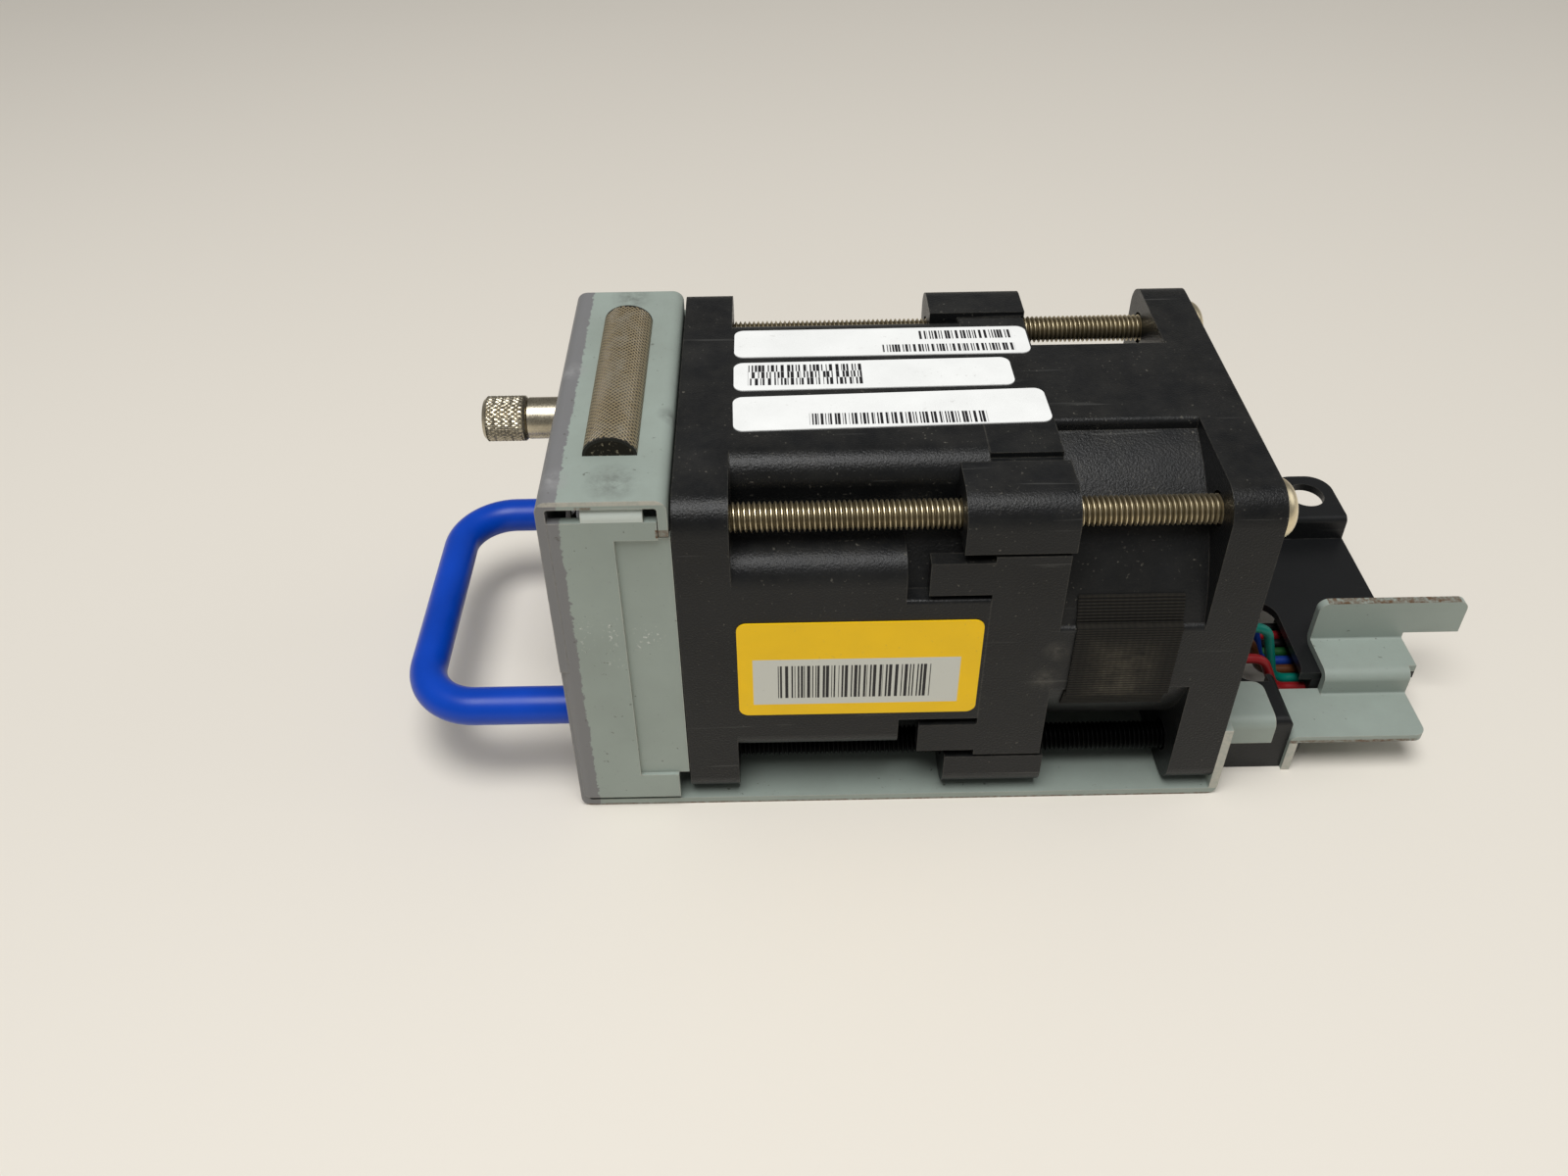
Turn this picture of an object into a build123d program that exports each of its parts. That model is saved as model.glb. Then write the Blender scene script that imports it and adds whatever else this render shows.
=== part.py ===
from build123d import *
import math
import os

# Fan block: two fans end to end, axis along X, air entering at -X.
fan_w = 40.0             # side of the square section
front_len = 29.9         # front fan, inlet face to the joint
rear_len = 26.1          # rear fan, joint to the outlet face
screw_edge = 4.0         # axes of the four long screws, in from the sides
barrel_wall = 1.0        # round barrel, which touches the sides of the square
flange_t = 5.2           # front flange
rear_flange_t = 5.0
corner_r = 3.0           # rounded corners of the flanges
ring_t = 7.0             # joint ring of the rear frame
boss_lead = 3.0          # corner bosses reach this far ahead of the ring
boss_tail = 0.4          # and this far behind it
boss_w = 5.7             # corner boss, measured in from the side
boss_gap = 0.1           # corner boss to the pads and barrel of the front frame
pad_notch = 6.8          # corner beside the pads of the front barrel, in from the side
pad_r = 2.8              # rounding along the pad edges
latch_room = 8.1         # side pads turn narrow this far ahead of the joint
narrow_r = 0.4
rear_pad_half = 7.0      # half widths of the pads on the rear barrel
rear_side_half = 4.5
rear_pad_r = 0.6
hook_len = 6.0           # latch tabs of the rear frame, lying beside the narrow pads
hook_w = 4.0
hook_t = 1.6
hook_gap = 0.7           # latch tab to the narrow pad
mouth = 0.6              # chamfer of the air inlet and outlet
groove_w = 1.3           # grooves beside the corner bosses, on top and below
seam_w = 0.35            # seams beside them, on the sides
groove_deep = 0.6

# Motors, one per fan, measured along the axis from the motor base and outward from the shaft.
nose_inset = 2.4         # rotor nose to the outlet face
hub_wall = 1.0
nose_t = 1.5
nose_round = 1.2
yoke_t = 0.7
magnet_t = 0.9
magnet_inset = 2.1       # magnet ends to the rotor rim and to the yoke
base_t = 2.6
base_inset = 0.2         # motor base inside the hub outline
base_gap = 1.6           # rotor rim to the motor base
bearing_wall = 1.93
tube_wall = 0.8
tube_clear = 1.0         # end of the bearing tube to the yoke
shaft_r = 1.5
run_gap = 0.05           # shaft in bearing, radial
press_gap = 0.02         # bearing, core and yoke on their seats, radial
bearing_len = 3.0
air_gap = 0.4            # stator to magnet
core_inset = 0.8         # core ends inside the magnet ends
core_ring = 0.8
pole_len = 0.94
pole_w = 2.2
pole_tip = 0.5
pole_count = 4
coil_over = 1.0          # winding standing past the core at each end
coil_w = 4.2
board_t = 1.0
board_inset = 1.0        # drive board inside the motor base
board_lift = 0.3
clip_t = 0.5
clip_room = 0.9          # clip to the bearing tube
clip_bite = 0.3          # clip in the groove of the shaft
shaft_tail = 0.6         # shaft end to the rear of the motor base
strut_t = 1.4
strut_deep = 4.6
strut_tilt = 24.0
strut_root = 0.8         # struts run this far into the base and the barrel
strut_back = 0.4         # struts of the front fan, ahead of the joint
strut_count = 5

# Blades.
tip_gap = 0.6
blade_t = 0.9
front_blades = 7
rear_blades = 5
front_chord = 17.0
rear_chord = 15.0
root_angle = 56.0        # from the plane of rotation
tip_angle = 36.0
camber = 0.09            # rise over chord
blade_clear = 0.6        # blades to the struts

# Sheet metal tray: floor, front box and rear lugs bent from one sheet.
sheet = 0.9
fan_lift = 0.3           # fan clear of the floor
box_depth = 12.0         # front face to the fan
side_clear = 0.3         # side flanges stand this far outside the fan
top_rise = 1.7           # box top above the fan top
bend_in = 0.3            # inside radius of the bends
top_back = 0.2           # rear edge of the top flange to the fan
top_far_gap = 3.8        # top flange stops short of the far side
lip_drop = 4.2           # return lip under the rear edge of the top flange
ear_low = 3.2            # screw ears of the lip, below the screw axis
ear_half = 2.8
side_low = 1.6           # lower and upper edges of the side flanges
side_gap = 1.6           # slot under the top flange
side_back = 1.2          # rear edge of the side flanges to the fan
tongue_len = 5.1         # recessed gasket land on each side flange
tongue_back = 0.1
tongue_in = 0.4
tongue_low = 5.2
tongue_top = 4.65        # land to the top of the box
tab_len = 5.6            # tab folded in under the top flange
tab_in = 5.0
tab_back = 2.4
lug_h = 10.2             # rear lugs that carry the fan
lug_w = 9.0
sill = 2.2               # floor edge between the lugs
hook_tab_len = 5.8       # tab that holds the cable bracket down
hook_tab_w = 5.8
hook_tab_drop = 3.4
hook_tab_in = 0.4        # turned-down side of that tab, behind the lugs
tab_bend = 0.3           # inside radius of the small bends
vent_af = 3.4            # hexagonal vent holes, across flats
vent_web = 0.8
vent_rim = 0.8           # vent holes to the edge of the air passage

# Grip and captive screw on the front face.
grip_rod = 4.0
grip_side = 4.3          # leg centres, in from the sides of the fan
grip_reach = 16.7        # front face to the centre of the bar
grip_bend = 6.0
grip_z = 11.4
grip_screw_r = 1.25
grip_screw_len = 6.0
grip_head_r = 2.6
grip_head_t = 1.8
tap_gap = 0.05           # screw in its tapped hole
clear_gap = 0.25         # screw in a plain hole

knob_r = 2.35
knob_len = 4.5
knob_edge = 0.3
thumb_drop = 5.3         # thumb screw axis below the top of the box
thumb_shank_r = 1.25
ferrule_r = 2.15
ferrule_len = 3.6
ferrule_neck = 1.9
knob_gap = 0.1
thumb_travel = 3.0
thumb_clip_t = 0.6
thumb_clip_r = 2.3
thumb_tip = 2.4

# Gasket on the box top.
gasket_w = 5.1
gasket_len = 23.6
gasket_h = 2.0
gasket_skin = 0.3
gasket_front = 3.7       # front face to gasket
gasket_y = -1.8

# Long screws, M3.
bolt_r = 1.5
bolt_hole_gap = 0.25
head_r = 3.0
head_t = 2.1
bolt_past = 0.6          # thread past the screw ears

# Cable bracket and tail bracket behind the fan.
plate_t = 1.0
plate_top = 7.6
plate_len = 23.7         # behind the rear lugs
plate_near_in = 3.5      # plate edges, in from the sides of the fan
plate_far_in = 6.2
plate_bend = 0.8         # outside radius of its bends
plate_notch_x = 8.1      # lugs to the corner cut for the tail bracket
skirt_len = 6.6
skirt_low = 0.0
skirt_end_low = 1.2
ear_rise = 3.3
ear_w = 7.4
ear_edge = 3.8           # ear hole to the end of the ear
ear_round = 2.8
ear_hole_r = 2.2
ear_in = 2.6             # ear hole, in from the far side of the fan
port_x = 3.4             # wire port, from the lugs
port_len = 8.0
lead_at = 16.0           # middle of the row of leads, in from the near side of the fan
port_clear = 0.475       # outer leads to the far edge of the port
port_room = 1.55         # and to its near edge
port_r = 2.5

tail_low = 5.4           # top of the lower shelf
tail_in = 3.0            # shelf edge, riser and wall, in from the near side of the fan
shelf_len = 14.7
riser_in = 9.1
upper_start = 5.2
upper_len = 10.4
wall_in = 15.5
wall_top = 14.0
wall_len = 16.6
wall_foot = 1.7          # clearance under the free end of the wall
tail_round = 1.2
tail_bend = 0.25         # inside radius of its bends
rivet_r = 1.2
rivet_head_r = 2.0
rivet_head_t = 1.3
rivet_in = 6.0
rivet_z = 2.3

# Wiring. Each lead has its own rise above the plate and reach into the port.
wire_d = 1.1
wire_lane = 1.35
leads = ["red", "teal", "brown", "blue", "green", "black", "red", "black"]
lead_rise = [0.9, 4.4, 1.3, 3.0, 2.0, 1.2, 2.6, 1.6]
lead_reach = [3.4, 3.6, 2.6, 3.0, 2.4, 3.2, 2.8, 3.4]
lead_lean = 2.2          # foot of each drop behind its head
lead_exit = 1.7          # where the leads leave the rim of the rear flange, ahead of the outlet face
lead_sunk = 0.6
lead_bend = 2.0
plug_len = 9.8
plug_wall = 0.4
plug_h = 4.6
plug_start = 12.4        # behind the lugs
cell_w = 1.0
cell_deep = 7.0
pin_w = 0.5
pin_root = 1.5

# Stickers and tape. The white stickers lie side by side on top, counted from the far edge of the pad.
label_t = 0.12
tape_t = 0.25
label_r = 1.0
label_start = 0.3        # behind the front flange
label_edge = 0.2
label_gap = 0.95
label_far_len = 31.2
label_far_w = 5.2
label_mid_len = 28.6
label_mid_w = 5.0
label_near_len = 31.2
label_near_w = 5.7
label_side_len = 24.0
label_side_w = 13.0
label_side_drop = 0.5    # below the fan axis
tape_start = 1.6         # behind the joint ring
tape_len = 10.3
tape_half = 7.6
label_mid_skew = 0.6
label_near_skew = 1.4

fan_len = front_len + rear_len
fan_front = -fan_len / 2
fan_rear = fan_len / 2
fan_floor = sheet + fan_lift
half = fan_w / 2
axis_z = fan_floor + half
fan_top = fan_floor + fan_w
barrel_r = half
bore_r = barrel_r - barrel_wall
pad_half = half - pad_notch
narrow_half = pad_half - hook_w - hook_gap
boss_top = pad_half + boss_gap
boss_side = half - boss_w
face_x = fan_front - box_depth
tray_half = half + side_clear
box_top = fan_top + top_rise
lug_x = fan_rear + sheet
ring_x = fan_front + front_len
bend_r = bend_in + sheet
screw_at = half - screw_edge
corners = [(sy * screw_at, axis_z + sz * screw_at) for sy in (-1, 1) for sz in (-1, 1)]

# Motor stack, from the shaft out to the hub.
tube_in = shaft_r + run_gap + bearing_wall + press_gap
core_in = tube_in + tube_wall + press_gap
core_r = core_in + core_ring + pole_len + pole_tip
magnet_r = core_r + air_gap + magnet_t
yoke_r = magnet_r + press_gap + yoke_t
hub_r = yoke_r + press_gap + hub_wall
base_r = hub_r - base_inset
board_r = base_r - board_inset
clip_r = tube_in - clip_room
hub_len = rear_len - ring_t / 2 - base_t - base_gap - nose_inset
rotor_top = base_gap + hub_len
cup_top = rotor_top - nose_t
tube_len = cup_top - yoke_t - tube_clear
magnet_len = hub_len - nose_t - yoke_t - 2 * magnet_inset
core_len = magnet_len - 2 * core_inset
core_mid = (base_gap + cup_top - yoke_t) / 2
blade_mid = (base_gap + cup_top) / 2

# Places across the rear brackets.
plate_near = -half + plate_near_in
plate_far = half - plate_far_in
ear_y = half - ear_in
lead_y = -half + lead_at
lead_row = (len(leads) - 1) * wire_lane + wire_d
port_w = lead_row + port_clear + port_room
port_y = lead_y + (port_clear - port_room) / 2
tail_near = -half + tail_in
riser_y = -half + riser_in
wall_y = -half + wall_in
rivet_y = -half + rivet_in
plate_notch_y = riser_y + sheet + tail_bend
plug_w = len(leads) * wire_lane + 2 * plug_wall


def block(x0, x1, y0, y1, z0, z1):
    return Pos((x0 + x1) / 2, (y0 + y1) / 2, (z0 + z1) / 2) * Box(x1 - x0, y1 - y0, z1 - z0)


def rod_x(radius, x0, x1, y, z):
    return Pos((x0 + x1) / 2, y, z) * Rot(0, 90, 0) * Cylinder(radius, abs(x1 - x0))


def along_x(face, x0, x1):
    section = Plane(origin=(x0, 0, axis_z), x_dir=(0, 1, 0), z_dir=(1, 0, 0)) * face
    return extrude(section, amount=x1 - x0)


def bent_strip(points, y0, y1, thick, radius):
    path = FilletPolyline(*points, radius=radius)
    face = make_face(offset(path, amount=thick, side=Side.RIGHT))
    section = Plane(origin=(0, y0, 0), x_dir=(1, 0, 0), z_dir=(0, -1, 0)) * face
    return extrude(section, amount=y0 - y1)


def bent_along_x(points, x0, x1, thick, radii):
    path = FilletPolyline(*points, radius=radii)
    face = make_face(offset(path, amount=thick, side=Side.RIGHT))
    section = Plane(origin=(x0, 0, 0), x_dir=(0, 1, 0), z_dir=(1, 0, 0)) * face
    return extrude(section, amount=x1 - x0)


def at(edges, axis, value):
    return edges.filter_by_position(axis, value - 0.01, value + 0.01)


def on_axis(part, x, direction):
    return Plane(origin=(x, 0, axis_z), x_dir=(0, 1, 0), z_dir=(direction, 0, 0)).location * part


def tube(outer, inner, z0, z1):
    ring = Circle(outer) - Circle(inner)
    return Pos(0, 0, z0) * extrude(ring, amount=z1 - z0)


def save(part, node):
    export_step(part, os.path.join("parts", node + ".step"))


# Fan frames. The barrel is round inside; outside it carries flat pads on its four sides, so that
# the screws run free in the corners.
def barrel_section(top_half, top_r, side_half, side_r):
    upright = RectangleRounded(2 * top_half, fan_w, top_r)
    level = RectangleRounded(fan_w, 2 * side_half, side_r)
    return upright + level + Circle(barrel_r) - Circle(bore_r)


def flange_section():
    return RectangleRounded(fan_w, fan_w, corner_r) - Circle(bore_r)


def corner_boss_section():
    frame = RectangleRounded(fan_w, fan_w, corner_r)
    return frame - Rectangle(2 * boss_top, fan_w) - Rectangle(fan_w, 2 * boss_side)


def bolt_holes():
    return [rod_x(bolt_r + bolt_hole_gap, fan_front - 1, fan_rear + 1, y, z) for y, z in corners]


def motor_mount():
    base = tube(base_r, tube_in, -base_t, 0)
    post = tube(tube_in + tube_wall, tube_in, 0, tube_len)
    strut = Pos((base_r + bore_r) / 2, 0, -base_t / 2) * Rot(strut_tilt, 0, 0) * Box(
        bore_r - base_r + 2 * strut_root, strut_t, strut_deep)
    mount = base + post
    for i in range(strut_count):
        mount += Rot(0, 0, 360 / strut_count * i) * strut
    return mount


def latch_tabs():
    mid = narrow_half + hook_gap + hook_w / 2
    tabs = []
    for side in (-1, 1):
        for up in (-1, 1):
            outer = side * half
            inner = side * (half - hook_t)
            z_mid = axis_z + up * mid
            tabs.append(block(ring_x - hook_len, ring_x + ring_t / 2, min(outer, inner), max(outer, inner),
                              z_mid - hook_w / 2, z_mid + hook_w / 2))
    return tabs


front_base_x = ring_x - strut_back - strut_deep / 2 - base_t / 2
rear_base_x = ring_x + ring_t / 2 + base_t
narrow_x = ring_x - latch_room
hole_wall = math.hypot(screw_at, screw_at) - bolt_r - bolt_hole_gap - bore_r
mouth_edge = min(mouth, hole_wall / 2)

front_frame = along_x(flange_section(), fan_front, fan_front + flange_t)
front_frame += along_x(barrel_section(pad_half, pad_r, pad_half, pad_r), fan_front + flange_t, narrow_x)
front_frame += along_x(barrel_section(pad_half, pad_r, narrow_half, narrow_r), narrow_x, ring_x)
front_frame += on_axis(motor_mount(), front_base_x, -1)
for cut in bolt_holes():
    front_frame -= cut
inlet = front_frame.faces().filter_by(Axis.X).sort_by(Axis.X)[0].edges().filter_by(GeomType.CIRCLE)
front_frame = chamfer(inlet.sort_by(SortBy.RADIUS)[-1:], mouth_edge)

outlet_x = fan_rear - rear_flange_t
ring_end = ring_x + ring_t
rear_frame = along_x(flange_section(), ring_x, ring_end)
boss_section = corner_boss_section() - Circle(barrel_r + boss_gap)
rear_frame += along_x(boss_section, ring_x - boss_lead, ring_end + boss_tail)
rear_barrel = barrel_section(rear_pad_half, rear_pad_r, rear_side_half, rear_pad_r)
rear_frame += along_x(rear_barrel, ring_end, outlet_x)
rear_frame += along_x(flange_section(), outlet_x, fan_rear)
rear_frame += on_axis(motor_mount(), rear_base_x, 1)
for tab in latch_tabs():
    rear_frame += tab
for cut in bolt_holes():
    rear_frame -= cut
for side in (-1, 1):
    edge_y = side * boss_top
    inner_y = side * (boss_top - groove_w)
    edge_z = axis_z + side * boss_side
    inner_z = axis_z + side * (boss_side - seam_w)
    for end in (-1, 1):
        skin = axis_z + end * half
        floor_z = axis_z + end * (half - groove_deep)
        rear_frame -= block(ring_x, ring_end, min(edge_y, inner_y), max(edge_y, inner_y),
                            min(skin, floor_z), max(skin, floor_z))
        wall_out = end * half
        wall_deep = end * (half - groove_deep)
        rear_frame -= block(ring_x, ring_end, min(wall_out, wall_deep), max(wall_out, wall_deep),
                            min(edge_z, inner_z), max(edge_z, inner_z))
outlet = rear_frame.faces().filter_by(Axis.X).sort_by(Axis.X)[-1].edges().filter_by(GeomType.CIRCLE)
rear_frame = chamfer(outlet.sort_by(SortBy.RADIUS)[-1:], mouth_edge)


# Rotor and stator of one fan, along +Z from the motor base.
strut_reach = strut_deep / 2 - base_t / 2


def blade(chord, hand):
    sections = []
    for radius, angle in ((yoke_r - yoke_t, root_angle), ((hub_r + bore_r) / 2, (root_angle + tip_angle) / 2),
                          (bore_r, tip_angle)):
        rise = chord * camber
        edge = blade_t / 4
        upper = ThreePointArc((-chord / 2, edge), (0, rise + blade_t / 2), (chord / 2, edge))
        back = Line((chord / 2, edge), (chord / 2, -edge))
        lower = ThreePointArc((chord / 2, -edge), (0, rise - blade_t / 2), (-chord / 2, -edge))
        front = Line((-chord / 2, -edge), (-chord / 2, edge))
        turn = math.radians(angle)
        plane = Plane(origin=(radius, 0, blade_mid), x_dir=(0, hand * math.cos(turn), math.sin(turn)),
                      z_dir=(hand, 0, 0))
        sections.append(plane * make_face(Curve() + [upper, back, lower, front]))
    body = loft(sections)
    return body & tube(bore_r - tip_gap, hub_r - hub_wall / 2, strut_reach + blade_clear, rotor_top)


def impeller(chord, count, hand):
    hub = Pos(0, 0, base_gap) * Cylinder(hub_r, hub_len, align=(Align.CENTER, Align.CENTER, Align.MIN))
    hub = fillet(hub.edges().sort_by(Axis.Z)[-1:], nose_round)
    hub -= Pos(0, 0, base_gap) * Cylinder(hub_r - hub_wall, hub_len - nose_t,
                                          align=(Align.CENTER, Align.CENTER, Align.MIN))
    one = blade(chord, hand)
    for i in range(count):
        hub += Rot(0, 0, 360 / count * i) * one
    return hub


def motor_parts():
    yoke = tube(yoke_r, yoke_r - yoke_t, base_gap + board_lift, cup_top)
    yoke += tube(yoke_r, shaft_r + press_gap, cup_top - yoke_t, cup_top)
    magnet = tube(magnet_r, magnet_r - magnet_t, core_mid - magnet_len / 2, core_mid + magnet_len / 2)
    tail_z = shaft_tail - base_t
    clip_z = tail_z + clip_t
    shaft = Pos(0, 0, tail_z) * extrude(Circle(shaft_r), amount=cup_top - tail_z)
    shaft -= tube(shaft_r + 1, shaft_r - clip_bite - run_gap, clip_z, clip_z + clip_t)
    clip = tube(clip_r, shaft_r - clip_bite, clip_z, clip_z + clip_t)
    lower_bearing = clip_z + clip_t + 3 * run_gap
    bearing = tube(tube_in - press_gap, shaft_r + run_gap, 0, bearing_len)
    bearings = Compound([Pos(0, 0, lower_bearing) * bearing, Pos(0, 0, tube_len - bearing_len) * bearing])
    core = tube(core_in + core_ring, core_in, core_mid - core_len / 2, core_mid + core_len / 2)
    rim = tube(core_r, core_r - pole_tip, core_mid - core_len / 2, core_mid + core_len / 2)
    winding_room = tube(core_r - pole_tip - run_gap, core_in + core_ring + run_gap, 0, rotor_top)
    coils = []
    for i in range(pole_count):
        spin = Rot(0, 0, 360 / pole_count * i)
        arm_len = pole_len + pole_tip / 2 + core_ring / 2
        arm = Pos(core_in + core_ring / 2 + arm_len / 2, 0, core_mid) * Box(arm_len, pole_w, core_len)
        shoe = rim & Pos(core_r, 0, core_mid) * Box(2 * core_r, core_r * 1.25, core_len)
        core += spin * (arm + shoe)
        wound = Box(core_r, coil_w, core_len + 2 * coil_over)
        wound -= Box(core_r + 1, pole_w + 2 * run_gap, core_len + 2 * run_gap)
        coils.append(spin * ((Pos(core_r / 2 + core_in / 2, 0, core_mid) * wound) & winding_room))
    board = tube(board_r, core_in, board_lift, board_lift + board_t)
    return {"yoke": yoke, "magnet": magnet, "shaft": shaft, "clip": clip, "bearings": bearings,
            "core": core, "coils": Compound(coils), "board": board}


motor = motor_parts()

# Tray. The floor rises at the rear into two lugs and at the front into the face of the box;
# the top of the box is folded back over the fan end and its rear edge is turned down.
top_edge = box_top - sheet - side_gap
tongue_high = box_top - tongue_top
mid_z = axis_z
lower = bent_strip([(lug_x, lug_h), (lug_x, 0), (face_x, 0), (face_x, mid_z)], -half, half, sheet, bend_r)
lower -= block(fan_rear - 0.5, lug_x + 1, -half + lug_w, half - lug_w, sill, lug_h + 1)
lip_x = fan_front - top_back
upper_line = [(face_x, mid_z), (face_x, box_top), (lip_x, box_top), (lip_x, box_top - lip_drop)]
upper = bent_strip(upper_line, -tray_half, half - top_far_gap, sheet, bend_r)
sides_path = FilletPolyline((fan_front - side_back, -tray_half), (face_x, -tray_half),
                            (face_x, tray_half), (fan_front - side_back, tray_half), radius=bend_r)
sides = extrude(Pos(0, 0, side_low) * make_face(offset(sides_path, amount=sheet, side=Side.RIGHT)),
                amount=top_edge - side_low)
tray = lower + upper + sides
for side in (-1, 1):
    outer = side * tray_half
    land = side * (tray_half - tongue_in)
    inner = side * (tray_half - tongue_in - sheet)
    front = fan_front - tongue_back - tongue_len
    tray -= block(front, fan_front, min(outer, land), max(outer, land), tongue_low, tongue_high)
    tray += block(front, fan_front - tongue_back, min(land, inner), max(land, inner), tongue_low, tongue_high)
tab_x = fan_front - tab_back
tab_z = box_top - sheet
tab_line = [(-tray_half, top_edge - sheet), (-tray_half, tab_z), (-tray_half + tab_in, tab_z)]
tray += bent_along_x(tab_line, tab_x - tab_len, tab_x, sheet, bend_r)
tab_near = plate_near - sheet
tab_top = plate_top + sheet
hook_line = [(tab_near, tab_top - hook_tab_drop), (tab_near, tab_top), (tab_near + hook_tab_w, tab_top)]
hook_tab = bent_along_x(hook_line, lug_x - sheet / 2, lug_x + hook_tab_len, sheet, tab_bend + sheet)
hook_tab -= block(lug_x - sheet, lug_x + hook_tab_in, tab_near - 1, plate_near + tab_bend, 0, plate_top)
hook_tab -= block(lug_x, lug_x + hook_tab_in, tab_near - 1, plate_near, 0, tab_top + 1)
hook_tab = fillet(at(at(hook_tab.edges().filter_by(Axis.Z), Axis.X, lug_x + hook_tab_len), Axis.Y,
                     tab_near + hook_tab_w), tail_round)
tray += hook_tab

thumb_z = box_top - thumb_drop
grip_ys = [-half + grip_side, half - grip_side]
for y, z in corners:
    if z > axis_z:
        tray += block(lip_x - sheet, lip_x, y - ear_half, y + ear_half, z - ear_low, box_top - lip_drop)
        tray -= rod_x(bolt_r + tap_gap, lip_x - sheet - 1, lip_x + 1, y, z)
    else:
        tray -= rod_x(bolt_r + tap_gap, fan_rear - 1, lug_x + 1, y, z)
tray -= rod_x(ferrule_neck + press_gap, face_x - 1, face_x + sheet + 1, 0, thumb_z)
for y in grip_ys:
    tray -= rod_x(grip_screw_r + clear_gap, face_x - 1, face_x + sheet + 1, y, grip_z)

# Honeycomb vent in the front face, left whole round the grip feet and the thumb screw.
vent_step = vent_af + vent_web
vent_cell_r = vent_af / math.sqrt(3)
vent_reach = bore_r - vent_rim
keep_out = [(y, grip_z, grip_rod / 2) for y in grip_ys] + [(0, thumb_z, ferrule_r)]
rows = int(vent_reach / (vent_step * math.sqrt(3) / 2)) + 1
cells = []
for row in range(-rows, rows + 1):
    for col in range(-rows, rows + 1):
        y = (col + 0.5 * (row % 2)) * vent_step
        z = axis_z + row * vent_step * math.sqrt(3) / 2
        inside = math.hypot(y, z - axis_z) + vent_cell_r < vent_reach
        clear = all(math.hypot(y - ky, z - kz) > kr + vent_cell_r + vent_web for ky, kz, kr in keep_out)
        if inside and clear:
            cells.append(Pos(y, z - axis_z) * Rot(0, 0, 30) * RegularPolygon(vent_cell_r, 6))
tray -= along_x(Sketch() + cells, face_x - 1, face_x + sheet + 1)

# Grip: one round bar bent to a U, screwed on from inside the box.
bar_x = face_x - grip_reach
grip_path = FilletPolyline((face_x, grip_ys[0], grip_z), (bar_x, grip_ys[0], grip_z),
                           (bar_x, grip_ys[1], grip_z), (face_x, grip_ys[1], grip_z), radius=grip_bend)
grip_start = Plane(origin=(face_x, grip_ys[0], grip_z), z_dir=(-1, 0, 0))
grip = sweep(grip_start * Circle(grip_rod / 2), path=grip_path)
grip_screws = []
panel_in = face_x + sheet
for y in grip_ys:
    grip -= rod_x(grip_screw_r + tap_gap, face_x - grip_screw_len - 0.5, face_x + 1, y, grip_z)
    shank = rod_x(grip_screw_r, face_x - grip_screw_len, panel_in, y, grip_z)
    head = rod_x(grip_head_r, panel_in, panel_in + grip_head_t, y, grip_z)
    head = fillet(head.edges().sort_by(Axis.X)[-1:], grip_head_t * 0.4)
    grip_screws.append(shank + head)

# Captive thumb screw: the ferrule is pressed into the face, the knob and its shank slide and turn in
# it, and a ring on the shank stops the knob from being pulled out.
ferrule = rod_x(ferrule_r, face_x - ferrule_len, face_x, 0, thumb_z)
ferrule += rod_x(ferrule_neck, face_x, panel_in, 0, thumb_z)
ferrule -= rod_x(thumb_shank_r + run_gap, face_x - ferrule_len - 1, panel_in + 1, 0, thumb_z)
knob_back = face_x - ferrule_len - knob_gap
ring_at = panel_in + thumb_travel + knob_gap
tip_at = ring_at + thumb_clip_t + thumb_tip
knob = rod_x(knob_r, knob_back - knob_len, knob_back, 0, thumb_z)
knob = chamfer(knob.edges().filter_by(GeomType.CIRCLE), knob_edge)
knob += rod_x(thumb_shank_r, knob_back - 0.2, tip_at, 0, thumb_z)
neck_r = thumb_shank_r - 0.3
seat = rod_x(thumb_shank_r + 1, ring_at - run_gap, ring_at + thumb_clip_t + run_gap, 0, thumb_z)
knob -= seat - rod_x(neck_r, ring_at - 1, ring_at + thumb_clip_t + 1, 0, thumb_z)
thumb_ring = rod_x(thumb_clip_r, ring_at, ring_at + thumb_clip_t, 0, thumb_z)
thumb_ring -= rod_x(neck_r + run_gap, ring_at - 1, ring_at + thumb_clip_t + 1, 0, thumb_z)

# Gasket: a half-round foam strip in a knitted metal sock.
gasket_mid = face_x + gasket_front + gasket_w / 2


def gasket_shape(width, height, length):
    dome = Ellipse(width / 2, height) & Pos(0, height / 2) * Rectangle(width, height)
    section = Plane(origin=(gasket_mid, gasket_y - length / 2, box_top), x_dir=(1, 0, 0),
                    z_dir=(0, -1, 0)) * dome
    return extrude(section, amount=-length)


gasket_foam = gasket_shape(gasket_w - 2 * gasket_skin, gasket_h - gasket_skin, gasket_len)
gasket_mesh = gasket_shape(gasket_w, gasket_h, gasket_len) - gasket_foam

# Long screws: the upper pair from the rear into the ears of the lip, the lower pair from the front
# into the rear lugs.
upper_bolts = []
lower_bolts = []
for y, z in corners:
    top = z > axis_z
    seat_x = fan_rear if top else fan_front
    way = 1 if top else -1
    end_x = lip_x - sheet - bolt_past if top else lug_x
    head = rod_x(head_r, seat_x, seat_x + way * head_t, y, z)
    rim = head.edges().sort_by(Axis.X)[-1:] if top else head.edges().sort_by(Axis.X)[:1]
    head = fillet(rim, head_t * 0.8)
    bolt = head + rod_x(bolt_r, seat_x, end_x, y, z)
    if top:
        upper_bolts.append(bolt)
    else:
        lower_bolts.append(bolt)

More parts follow.
